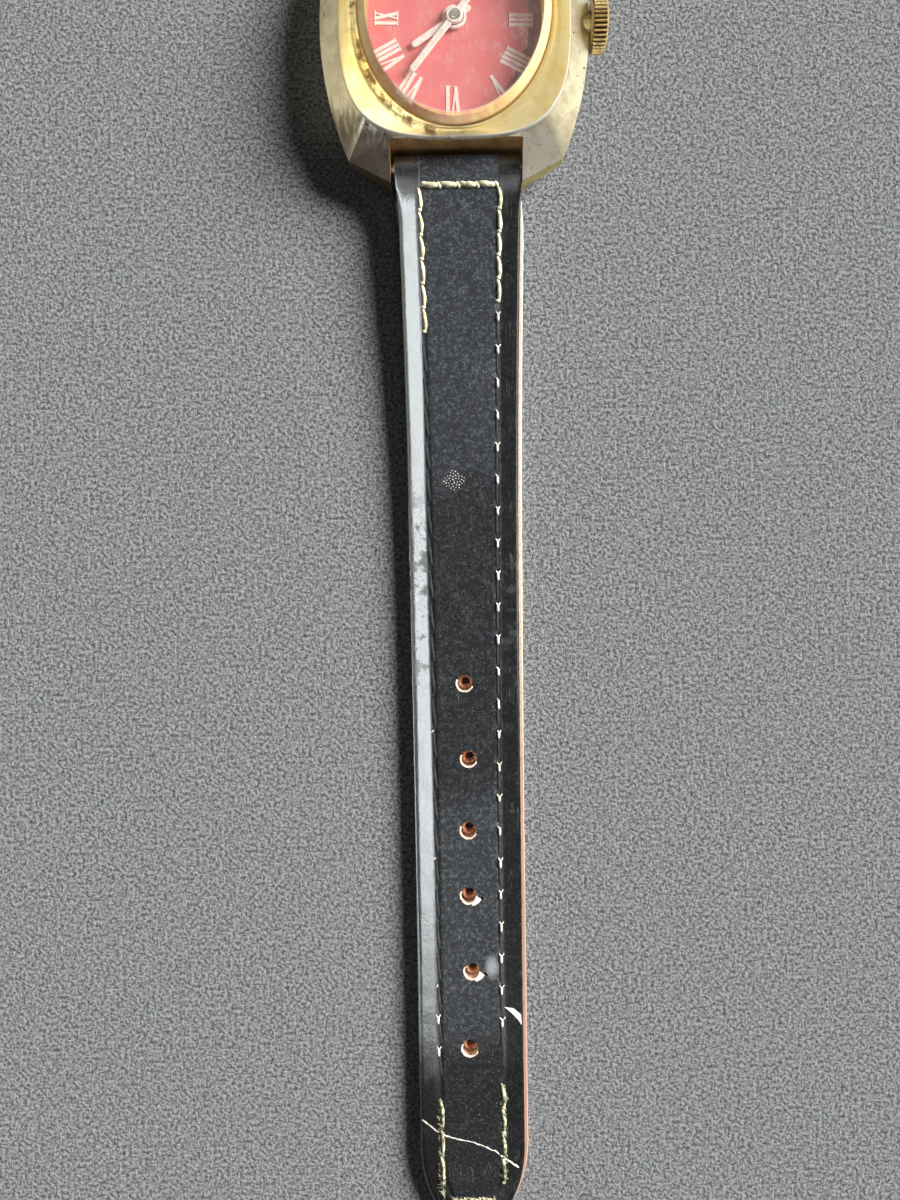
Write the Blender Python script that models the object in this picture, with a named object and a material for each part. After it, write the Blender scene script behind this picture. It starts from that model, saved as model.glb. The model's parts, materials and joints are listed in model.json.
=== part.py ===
"""Wristwatch: a cushion case on a hand-wound movement, with a two-piece leather strap and a pin buckle.

Frame: the origin is the centre of the case back's outer flat face. +Z points out of the dial, +X to the
crown, +Y to 12 o'clock. All dimensions below are in millimetres, and meshes are scaled to metres once.
"""

import math

import bmesh
import bpy
from mathutils import Matrix, Vector

MM = 0.001

# ---- case -------------------------------------------------------------------------------------------
CASE_HALF_WIDTH = 14.3
FLANK_RADIUS = 36.3
LUG_CORNER_Y = 14.1
LUG_TIP_Y = 16.4
LUG_GAP_HALF = 7.0
CASE_WALL_Y = 12.7
CASE_LOW_Z = 1.2
CASE_SIDE_Z = 2.4
CASE_EDGE_Z = 4.4
LUG_EDGE_Z = 4.0
CASE_TOP_Z = 6.2
CASE_TOP = (12.2, 12.8)
TOP_CORNER_TURN = 49.0
FLANK_STEPS = 5
LUG_OVERRUN = 0.2
GAP_INSET = 0.4
CUSHION_X = 12.1
CUSHION_Y = 13.02
CUSHION_POWER = 3.15
CASE_BORE = 10.4
DIAL_SEAT = (10.5, 11.85)
DIAL_SEAT_Z = 5.0
BACK_RADIUS = 11.3
GASKET_SEAT = 10.9
BAR_Y = 14.5
BAR_Z = 2.8
LUG_HOLE = 0.46

# ---- crystal, bezel and dial ------------------------------------------------------------------------
CRYSTAL = (10.0, 12.25)
OPENING = (9.1, 11.25)
BEZEL_LIP_Z = 7.6
CRYSTAL_SEAT_Z = 6.7
CRYSTAL_TOP_Z = 8.75
DIAL = (9.6, 11.4)
DIAL_LOW_Z = 5.05
DIAL_TOP_Z = 5.4

# ---- movement levels, from the back (low) to the dial (high) ------------------------------------------
RATCHET_Z = (1.0, 1.35)
BRIDGE_Z = (1.4, 1.9)
PLATE_Z = (3.3, 5.0)
PLATE_RADIUS = 9.0
STEM_Z = 3.9
MOTION_Z = 4.35
PIVOT = 0.12
PIVOT_HOLE = 0.18
ARBOR_Z = (1.5, 3.6)

# ---- teeth -------------------------------------------------------------------------------------------
BARREL_TEETH = 60
CENTER_PINION_TEETH = 10
CENTER_TEETH = 48
THIRD_PINION_TEETH = 6
THIRD_TEETH = 45
FOURTH_PINION_TEETH = 6
FOURTH_TEETH = 60
ESCAPE_PINION_TEETH = 6
ESCAPE_TEETH = 15
CANNON_TEETH = 12
MINUTE_TEETH = 36
MINUTE_PINION_TEETH = 10
HOUR_TEETH = 40
SETTING_TEETH = 16
WINDING_TEETH = 10
CONTRATE_TEETH = 16
CROWN_WHEEL_TEETH = 24
RATCHET_TEETH = 32
WHEEL_TEETH = 21


def polar(origin, distance, degrees):
    """Point at a distance and a direction from another point."""
    angle = math.radians(degrees)
    return (origin[0] + distance * math.cos(angle), origin[1] + distance * math.sin(angle))


# ---- plan of the movement, seen from the dial ---------------------------------------------------------
CENTRE = (0.0, 0.0)
BARREL_SPACING = 4.55
THIRD_SPACING = 3.825
FOURTH_SPACING = 3.06
ESCAPE_SPACING = 2.97
PALLET_SPACING = 2.0
BALANCE_SPACING = 2.1
MINUTE_SPACING = 2.4
PALLET_DIRECTION = 10.0
BARREL = polar(CENTRE, BARREL_SPACING, 80.0)
THIRD = polar(CENTRE, THIRD_SPACING, 200.0)
FOURTH = polar(THIRD, FOURTH_SPACING, -70.0)
ESCAPE = polar(FOURTH, ESCAPE_SPACING, -20.0)
PALLET = polar(ESCAPE, PALLET_SPACING, PALLET_DIRECTION)
BALANCE = polar(PALLET, BALANCE_SPACING, PALLET_DIRECTION)
MINUTE_WHEEL = polar(CENTRE, MINUTE_SPACING, 57.8)
SETTING_WHEEL = (2.9, 0.0)
CROWN_WHEEL = (4.8, 0.0)
YOKE_PIVOT = (5.08, -3.1)
LEVER_PIVOT = (6.4, 2.4)
CLICK_PIVOT = polar(BARREL, 4.5, 160.0)
BARREL_FEET = ((-6.8, 4.2), (7.1, 3.7))
TRAIN_FEET = ((-7.4, -3.0), (-1.2, -8.0))
COCK_FOOT = (7.35, -3.55)
PALLET_FOOT = (2.3, -7.3)

# ---- hands -------------------------------------------------------------------------------------------
HOUR_HAND = (5.35, 2.0)
HOUR_HAND_CLOCK = 233.6
HOUR_BOSS = 1.25
MINUTE_HAND = (7.4, 2.8)
MINUTE_HAND_CLOCK = 218.6
MINUTE_BOSS = 0.9
HAND_HALF_WIDTH = 0.3
HOUR_HAND_Z = (5.75, 5.9)
MINUTE_HAND_Z = (6.12, 6.27)

# ---- crown -------------------------------------------------------------------------------------------
CROWN_RADIUS = 2.55
CROWN_FLUTES = 26
CROWN_X = (14.4, 16.15)

# ---- strap and buckle --------------------------------------------------------------------------------
LONG_STRAP = 115.0
SHORT_STRAP = 75.0
TIP_LENGTH = 9.0
STRAP_END_RADIUS = 1.62
STRAP_BORE = 0.95
LEATHER_INSET = 0.25
LINING_THICKNESS = 0.7
LAYER_GAP = 0.04
MARGIN_WIDTH = 2.6
MARGIN_DROP = 0.55
FIRST_HOLE = 55.4
HOLE_PITCH = 7.91
HOLE_COUNT = 6
HOLE_RADIUS = 0.92
BUCKLE_Y = BAR_Y + SHORT_STRAP
BUCKLE_Z = 1.35
BUCKLE_LOOP_RADIUS = 1.3
BUCKLE_INSIDE = 6.5
BUCKLE_OUTSIDE = 8.2
BUCKLE_LENGTH = 8.5
BUCKLE_BAR = 0.6
BUCKLE_TOP = 2.2
KEEPER_INSIDE = 6.45
KEEPER_WALL = 0.8
KEEPER_LENGTH = 5.0
KEEPER_TOP = 6.7
FREE_KEEPER_Y = 66.0
FIXED_KEEPER_Y = 81.4

# ---- materials: colour, roughness, metallic -----------------------------------------------------------
MATERIALS = {
    "gold": ((0.86, 0.62, 0.28), 0.28, 1.0),
    "case_metal": ((0.72, 0.64, 0.44), 0.3, 1.0),
    "glass": ((0.95, 0.95, 0.93), 0.03, 0.0),
    "steel": ((0.62, 0.61, 0.59), 0.3, 1.0),
    "brass": ((0.78, 0.6, 0.3), 0.35, 1.0),
    "rubber": ((0.03, 0.03, 0.03), 0.8, 0.0),
    "dial_red": ((0.72, 0.25, 0.23), 0.45, 0.2),
    "hand_metal": ((0.88, 0.78, 0.68), 0.25, 1.0),
    "leather": ((0.04, 0.042, 0.045), 0.5, 0.0),
    "lining": ((0.62, 0.48, 0.34), 0.7, 0.0),
    "blued_steel": ((0.08, 0.1, 0.25), 0.25, 1.0),
}


def clear_scene():
    """Remove every object, so that the part is the only thing in the file."""
    for obj in list(bpy.data.objects):
        bpy.data.objects.remove(obj, do_unlink=True)


def make_materials():
    """One Principled material for each finish."""
    made = {}
    for name, (colour, roughness, metallic) in MATERIALS.items():
        material = bpy.data.materials.new(name)
        material.use_nodes = True
        shader = material.node_tree.nodes["Principled BSDF"]
        shader.inputs["Base Color"].default_value = (*colour, 1.0)
        shader.inputs["Roughness"].default_value = roughness
        shader.inputs["Metallic"].default_value = metallic
        made[name] = material
    made["glass"].node_tree.nodes["Principled BSDF"].inputs["Transmission Weight"].default_value = 0.9
    return made


# ---- outlines: lists of (x, y) ------------------------------------------------------------------------
def circle(radius, steps=24, centre=(0.0, 0.0), start=0.0):
    """Regular polygon with its corners on a circle."""
    return [polar(centre, radius, start + 360.0 * i / steps) for i in range(steps)]


def oval(half_x, half_y, steps=36, power=2.0):
    """Ellipse, or a squarer superellipse when power is above 2."""
    points = []
    for i in range(steps):
        c = math.cos(2 * math.pi * i / steps)
        s = math.sin(2 * math.pi * i / steps)
        x = half_x * math.copysign(abs(c) ** (2 / power), c)
        y = half_y * math.copysign(abs(s) ** (2 / power), s)
        points.append((x, y))
    return points


def arc(centre, radius, first, last, steps):
    """Points on an arc, both ends included, between two directions in degrees."""
    return [polar(centre, radius, first + (last - first) * i / steps) for i in range(steps + 1)]


def capsule(start, end, start_radius, end_radius, steps=6):
    """Round-ended strip between two points."""
    direction = math.degrees(math.atan2(end[1] - start[1], end[0] - start[0]))
    near = arc(start, start_radius, direction + 90, direction + 270, steps)
    far = arc(end, end_radius, direction - 90, direction + 90, steps)
    return near + far


def gear(teeth, pitch_radius, phase=0.0):
    """Toothed outline: pointed teeth on a wheel, blunt ones on a pinion; phase points at one tooth."""
    pitch = 2 * math.pi * pitch_radius / teeth
    root = pitch_radius - 0.3 * pitch
    step = 360.0 / teeth
    points = []
    for i in range(teeth):
        middle = phase + i * step
        if teeth >= WHEEL_TEETH:
            points.append(polar(CENTRE, root, middle - 0.5 * step))
            points.append(polar(CENTRE, pitch_radius + 0.25 * pitch, middle))
        else:
            tip = pitch_radius + 0.22 * pitch
            points.append(polar(CENTRE, root, middle - 0.3 * step))
            points.append(polar(CENTRE, tip, middle - 0.14 * step))
            points.append(polar(CENTRE, tip, middle + 0.14 * step))
            points.append(polar(CENTRE, root, middle + 0.3 * step))
    return points


def meshing_phase(phase, teeth, centre, other_teeth, other_centre):
    """Phase that puts the other gear's gap opposite this gear's tooth."""
    line = math.degrees(math.atan2(other_centre[1] - centre[1], other_centre[0] - centre[0]))
    return line + 180.0 - ((phase - line) * teeth + 180.0) / other_teeth


def pitch_radii(spacing, teeth, other_teeth):
    """Pitch radii of two meshing gears."""
    radius = spacing * teeth / (teeth + other_teeth)
    return radius, spacing - radius


def windows(count, inner, outer, arm):
    """Openings between the arms of a wheel."""
    loops = []
    for i in range(count):
        middle = 360.0 * (i + 0.5) / count
        half = 180.0 / count
        near = half - math.degrees(arm / 2 / inner)
        far = half - math.degrees(arm / 2 / outer)
        loop = arc(CENTRE, inner, middle - near, middle + near, 2)
        loop += arc(CENTRE, outer, middle + far, middle - far, 4)
        loops.append(loop)
    return loops


# ---- solids ------------------------------------------------------------------------------------------
def ring_of_vertices(bm, points):
    return [bm.verts.new(point) for point in points]


def wall(bm, low, high):
    """Quads between two loops of the same length."""
    for i, vertex in enumerate(low):
        j = (i + 1) % len(low)
        bm.faces.new((vertex, low[j], high[j], high[i]))


def fill(bm, loops):
    """Flat face between nested loops, with the inner ones as holes."""
    if len(loops) == 1:
        bm.faces.new(loops[0])
        return
    edges = []
    for loop in loops:
        for a, b in zip(loop, loop[1:] + loop[:1]):
            edges.append(bm.edges.get((a, b)) or bm.edges.new((a, b)))
    if edges:
        bmesh.ops.triangle_fill(bm, use_beauty=True, use_dissolve=False, edges=edges)


def stacked(layers):
    """Closed solid from slabs, each (loops, low, high), from low to high; slabs may share a loop."""
    bm = bmesh.new()
    below = {}
    for loops, low, high in layers:
        bottom = {}
        for loop in loops:
            if id(loop) in below:
                bottom[id(loop)] = below[id(loop)]
            else:
                bottom[id(loop)] = ring_of_vertices(bm, [(x, y, low) for x, y in loop])
        top = {id(loop): ring_of_vertices(bm, [(x, y, high) for x, y in loop]) for loop in loops}
        for key, vertices in bottom.items():
            wall(bm, vertices, top[key])
        ended = [vertices for key, vertices in below.items() if key not in bottom]
        begun = [vertices for key, vertices in bottom.items() if key not in below]
        fill(bm, ended + begun)
        below = top
    fill(bm, list(below.values()))
    return bm


def lofted(rings, closed=False):
    """Solid through loops of (x, y, z) with equal counts, capped at both ends or closed into a band."""
    bm = bmesh.new()
    loops = [ring_of_vertices(bm, ring) for ring in rings]
    for low, high in zip(loops, loops[1:]):
        wall(bm, low, high)
    if closed:
        wall(bm, loops[-1], loops[0])
    else:
        bm.faces.new(loops[0])
        bm.faces.new(loops[-1])
    return bm


def at_height(outline, z):
    return [(x, y, z) for x, y in outline]


def tube_along(points, radius, sides):
    """Round wire through a list of points."""
    rings = []
    for i, point in enumerate(points):
        before = Vector(points[max(i - 1, 0)])
        after = Vector(points[min(i + 1, len(points) - 1)])
        forward = (after - before).normalized()
        side = forward.cross(Vector((1.0, 0.0, 0.0)))
        if side.length < 0.2:
            side = forward.cross(Vector((0.0, 0.0, 1.0)))
        side.normalize()
        up = side.cross(forward)
        ring = []
        for k in range(sides):
            turn = 2 * math.pi * k / sides
            ring.append(Vector(point) + radius * (math.cos(turn) * side + math.sin(turn) * up))
        rings.append(ring)
    return lofted(rings)


def spiral_strip(inner, outer, turns, steps_per_turn, thickness, low, high):
    """Flat strip wound into a spiral."""
    steps = int(turns * steps_per_turn)
    rings = []
    for i in range(steps + 1):
        along = i / steps
        radius = inner + (outer - inner) * along
        turn = 360.0 * turns * along
        near = polar(CENTRE, radius - thickness / 2, turn)
        far = polar(CENTRE, radius + thickness / 2, turn)
        rings.append([(*near, low), (*far, low), (*far, high), (*near, high)])
    return lofted(rings)


ALONG_X = Matrix(((0, 0, 1, 0), (1, 0, 0, 0), (0, 1, 0, 0), (0, 0, 0, 1)))
ALONG_Y = Matrix(((1, 0, 0, 0), (0, 0, 1, 0), (0, 1, 0, 0), (0, 0, 0, 1)))


def turned_to(bm, matrix):
    """The solid with its Z direction laid along X or Y."""
    bm.transform(matrix)
    return bm


def box(low, high):
    """Rectangular block between two corners."""
    outline = [(low[0], low[1]), (high[0], low[1]), (high[0], high[1]), (low[0], high[1])]
    return stacked([([outline], low[2], high[2])])


def rod(radius, low, high, steps=16, centre=(0.0, 0.0)):
    """Round bar along Z."""
    return stacked([([circle(radius, steps, centre)], low, high)])


def rod_x(radius, low, high, y, z, steps=16):
    """Round bar along X."""
    return turned_to(rod(radius, low, high, steps, (y, z)), ALONG_X)


def to_object(name, bm, origin):
    """Mesh object in metres whose origin is a point given in millimetres."""
    bmesh.ops.recalc_face_normals(bm, faces=bm.faces[:])
    if bm.calc_volume(signed=True) < 0:
        bmesh.ops.reverse_faces(bm, faces=bm.faces[:])
    bm.transform(Matrix.Scale(MM, 4) @ Matrix.Translation(-Vector(origin)))
    mesh = bpy.data.meshes.new(name)
    bm.to_mesh(mesh)
    bm.free()
    obj = bpy.data.objects.new(name, mesh)
    obj.location = Vector(origin) * MM
    bpy.context.scene.collection.objects.link(obj)
    return obj


def node(name, bm, material, origin=(0.0, 0.0, 0.0), smooth_angle=35.0):
    """One named sub-part."""
    obj = to_object(name, bm, origin)
    obj.data.materials.append(material)
    obj.data.shade_smooth()
    obj.data.set_sharp_from_angle(angle=math.radians(smooth_angle))
    return obj


def cut(obj, cutters):
    """Take each cutter's shape out of the object."""
    for i, bm in enumerate(cutters):
        tool = to_object(f"{obj.name}_cut_{i}", bm, (0.0, 0.0, 0.0))
        tool.hide_render = True
        tool.display_type = "WIRE"
        modifier = obj.modifiers.new(f"cut_{i}", "BOOLEAN")
        modifier.operation = "DIFFERENCE"
        modifier.object = tool


# ---- case --------------------------------------------------------------------------------------------
def mirrored_outline(quarter):
    """Whole outline from the quarter that runs from +X to +Y."""
    upper = quarter + [(-x, y, z) for x, y, z in reversed(quarter[:-1])]
    lower = [(x, -y, z) for x, y, z in reversed(upper[1:-1])]
    return upper + lower


def flank_level(inset, flank_z, end_z):
    """Quarter outline of the case at one level: the curved flank, then the slanted end of the lug."""
    quarter = []
    for step in range(FLANK_STEPS + 1):
        along = step / FLANK_STEPS
        y = LUG_CORNER_Y * along
        x = CASE_HALF_WIDTH - FLANK_RADIUS + math.sqrt(FLANK_RADIUS**2 - y**2) - inset
        quarter.append((x, y, flank_z + (end_z - flank_z) * along**2))
    tip = LUG_TIP_Y + LUG_OVERRUN
    quarter.append((LUG_GAP_HALF - GAP_INSET, tip, end_z))
    quarter.append((0.0, tip, end_z))
    return quarter


def top_level():
    """Quarter outline of the case's top, under the bezel."""
    quarter = []
    for step in range(FLANK_STEPS + 1):
        turn = math.radians(TOP_CORNER_TURN) * step / FLANK_STEPS
        x = CASE_TOP[0] * math.cos(turn) ** (2 / CUSHION_POWER)
        y = CASE_TOP[1] * math.sin(turn) ** (2 / CUSHION_POWER)
        quarter.append((x, y, CASE_TOP_Z))
    quarter.append((LUG_GAP_HALF - GAP_INSET, CASE_WALL_Y - 0.15, CASE_TOP_Z))
    quarter.append((0.0, CASE_WALL_Y + 0.15, CASE_TOP_Z))
    return quarter


def make_case(mats):
    levels = [
        flank_level(1.0, CASE_LOW_Z, CASE_LOW_Z),
        flank_level(0.15, CASE_SIDE_Z, CASE_SIDE_Z),
        flank_level(0.0, CASE_EDGE_Z, LUG_EDGE_Z),
        top_level(),
    ]
    case = node("mid_case", lofted([mirrored_outline(level) for level in levels]), mats["case_metal"])
    bore = circle(CASE_BORE, 36)
    inside = stacked(
        [
            ([circle(GASKET_SEAT, 36)], 0.8, 1.6),
            ([bore], 1.6, DIAL_SEAT_Z),
            ([oval(*DIAL_SEAT, 36)], DIAL_SEAT_Z, 6.6),
        ]
    )
    cutters = [inside]
    for side in (-1, 1):
        near, far = sorted((side * CASE_WALL_Y, side * 20.0))
        cutters.append(box((-LUG_GAP_HALF, near, 0.5), (LUG_GAP_HALF, far, 7.0)))
        cutters.append(rod_x(LUG_HOLE, -8.2, 8.2, side * BAR_Y, BAR_Z, 12))
    cutters.append(rod_x(0.75, 9.5, 12.0, 0.0, STEM_Z, 12))
    cutters.append(rod_x(1.14, 11.6, 15.0, 0.0, STEM_Z, 16))
    cut(case, cutters)

    cushion = oval(CUSHION_X, CUSHION_Y, 36, CUSHION_POWER)
    shoulder = oval(CUSHION_X - 0.35, CUSHION_Y - 0.35, 36, CUSHION_POWER)
    lip = oval(CRYSTAL[0] + 0.25, CRYSTAL[1] + 0.1, 36)
    seat = oval(CRYSTAL[0] + 0.05, CRYSTAL[1] + 0.03, 36)
    opening = oval(*OPENING, 36)
    neck = oval(DIAL_SEAT[0] - 0.5, DIAL_SEAT[1] - 0.2, 36)
    bezel_rings = [
        at_height(cushion, CASE_TOP_Z + 0.05),
        at_height(cushion, CASE_TOP_Z + 0.45),
        at_height(shoulder, CASE_TOP_Z + 0.8),
        at_height(lip, BEZEL_LIP_Z),
        at_height(seat, BEZEL_LIP_Z - 0.1),
        at_height(seat, CRYSTAL_SEAT_Z),
        at_height(opening, CRYSTAL_SEAT_Z),
        at_height(opening, DIAL_TOP_Z + 0.05),
        at_height(neck, DIAL_TOP_Z + 0.05),
        at_height(neck, CASE_TOP_Z + 0.05),
    ]
    node("bezel", lofted(bezel_rings, closed=True), mats["gold"])

    crystal_rings = [
        at_height(oval(OPENING[0] - 0.3, OPENING[1] - 0.3, 36), 7.2),
        at_height(oval(OPENING[0] - 0.25, OPENING[1] - 0.25, 36), CRYSTAL_SEAT_Z + 0.05),
        at_height(oval(*CRYSTAL, 36), CRYSTAL_SEAT_Z + 0.05),
        at_height(oval(*CRYSTAL, 36), 7.75),
        at_height(oval(CRYSTAL[0] - 0.9, CRYSTAL[1] - 0.68, 36), CRYSTAL_TOP_Z - 0.3),
        at_height(oval(CRYSTAL[0] * 0.45, CRYSTAL[1] * 0.45, 36), CRYSTAL_TOP_Z),
    ]
    node("crystal", lofted(crystal_rings), mats["glass"])

    back_rings = [
        at_height(circle(9.6, 36), 0.55),
        at_height(circle(9.6, 36), 1.75),
        at_height(circle(CASE_BORE - 0.1, 36), 1.75),
        at_height(circle(CASE_BORE - 0.1, 36), 1.15),
        at_height(circle(BACK_RADIUS, 36), 1.15),
        at_height(circle(BACK_RADIUS, 36), 0.45),
        at_height(circle(BACK_RADIUS - 0.7, 36), 0.0),
    ]
    node("case_back", lofted(back_rings), mats["steel"])
    gasket = stacked([([circle(10.8, 36), circle(10.36, 36)], 1.2, 1.55)])
    node("case_back_gasket", gasket, mats["rubber"])
    on_stem("crown_tube", [([circle(1.1, 16), circle(0.62, 16)], 11.65, 15.0)], mats["steel"])

    holder = stacked([([circle(CASE_BORE - 0.1, 36), circle(PLATE_RADIUS + 0.1, 36)], 1.8, 4.95)])
    holder_object = node("movement_holder", holder, mats["brass"])
    cut(holder_object, [rod_x(0.8, 8.5, 11.5, 0.0, STEM_Z, 12)])

    dial = stacked([([oval(*DIAL, 36), circle(0.98, 14)], DIAL_LOW_Z, DIAL_TOP_Z)])
    node("dial", dial, mats["dial_red"])


# ---- plates and bridges ------------------------------------------------------------------------------
def screw(name, foot, mats):
    """Bridge screw with its head on the back of the bridge."""
    under_head = BRIDGE_Z[0] - 0.02
    bm = stacked([([circle(0.55, 12)], 1.15, under_head), ([circle(0.26, 8)], under_head, 3.9)])
    bm.transform(Matrix.Translation((foot[0], foot[1], 0.0)))
    node(name, bm, mats["blued_steel"], (foot[0], foot[1], 0.0))


def make_plates(mats):
    arbors = (BARREL, CENTRE, THIRD, FOURTH, ESCAPE, PALLET, BALANCE)
    holes = [circle(0.62, 12, BARREL), circle(0.34, 12, CENTRE)]
    holes += [circle(PIVOT_HOLE, 8, place) for place in arbors[2:]]
    holes += [circle(0.24, 8, place) for place in (YOKE_PIVOT, LEVER_PIVOT, MINUTE_WHEEL, SETTING_WHEEL)]
    holes += [circle(0.32, 8, foot) for foot in (BARREL_FEET[1], TRAIN_FEET[0], COCK_FOOT)]
    plate = node("mainplate", stacked([([circle(PLATE_RADIUS, 36)] + holes, *PLATE_Z)]), mats["brass"])
    above = PLATE_Z[1] + 0.5
    cutters = [
        rod(2.2, MOTION_Z, above, 24),
        rod(2.0, MOTION_Z + 0.003, above, 24, MINUTE_WHEEL),
        rod(1.05, MOTION_Z + 0.006, above, 16, SETTING_WHEEL),
        box((3.65, -1.4, 2.8), (7.75, 1.4, above)),
        rod_x(0.33, 2.7, 4.0, 0.0, STEM_Z, 12),
        rod_x(0.58, 7.5, 9.5, 0.0, STEM_Z, 12),
        stacked([([capsule(LEVER_PIVOT, (7.85, 0.15), 0.75, 0.8)], 4.25, above)]),
        stacked([([capsule(YOKE_PIVOT, (5.08, -1.0), 0.8, 0.9)], 3.65, above)]),
    ]
    cut(plate, cutters)

    barrel_outline = arc(CENTRE, 8.95, -14.0, 172.0, 22) + [(1.6, 1.25), (2.2, -2.17)]
    barrel_holes = [circle(0.62, 12, BARREL), circle(1.95, 20, CROWN_WHEEL)]
    barrel_holes.append(circle(0.24, 8, CLICK_PIVOT))
    screw_hole = circle(0.32, 8, BARREL_FEET[1])
    feet = [circle(0.75, 12, foot) for foot in BARREL_FEET]
    layers = [([barrel_outline, screw_hole] + barrel_holes, *BRIDGE_Z), (feet + [screw_hole], 1.9, 3.27)]
    node("barrel_bridge", stacked(layers), mats["brass"])

    train_outline = arc(CENTRE, 8.95, 174.0, 276.0, 12)
    train_outline += [(1.4, -6.4), (1.4, -4.0), (1.0, -1.2), (1.0, 0.95)]
    train_holes = [circle(0.34, 12, CENTRE)]
    train_holes += [circle(PIVOT_HOLE, 8, place) for place in (THIRD, FOURTH, ESCAPE)]
    screw_hole = circle(0.32, 8, TRAIN_FEET[0])
    feet = [circle(0.8, 12, foot) for foot in TRAIN_FEET]
    layers = [([train_outline, screw_hole] + train_holes, *BRIDGE_Z), (feet + [screw_hole], 1.9, 3.27)]
    node("train_bridge", stacked(layers), mats["brass"])

    cock = capsule(BALANCE, COCK_FOOT, 0.7, 0.68)
    screw_hole = circle(0.32, 8, COCK_FOOT)
    layers = [
        ([cock, circle(PIVOT_HOLE, 8, BALANCE), screw_hole], *BRIDGE_Z),
        ([circle(0.62, 12, COCK_FOOT), screw_hole], 1.9, 3.27),
    ]
    node("balance_cock", stacked(layers), mats["brass"])
    bridge = capsule(PALLET, PALLET_FOOT, 0.4, 0.5)
    layers = [
        ([bridge, circle(PIVOT_HOLE, 8, PALLET)], 2.5, 2.66),
        ([circle(0.42, 12, PALLET_FOOT)], 2.66, 3.27),
    ]
    node("pallet_bridge", stacked(layers), mats["brass"])
    screw("barrel_bridge_screw", BARREL_FEET[1], mats)
    screw("train_bridge_screw", TRAIN_FEET[0], mats)
    screw("balance_cock_screw", COCK_FOOT, mats)


# ---- going train -------------------------------------------------------------------------------------
def wheel_layers(teeth, radius, phase, level, arbor, arms=4):
    """Toothed rim with arms, to be stacked on an arbor."""
    rim = radius - 0.55 * (2 * math.pi * radius / teeth) - 0.12
    loops = [gear(teeth, radius, phase)] + windows(arms, arbor + 0.22, rim, 0.28)
    return (loops, *level)


def on_axis(name, layers, place, material):
    """Turning piece whose origin is on its own axis."""
    bm = stacked(layers)
    bm.transform(Matrix.Translation((place[0], place[1], 0.0)))
    return node(name, bm, material, (place[0], place[1], 0.0))


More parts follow.
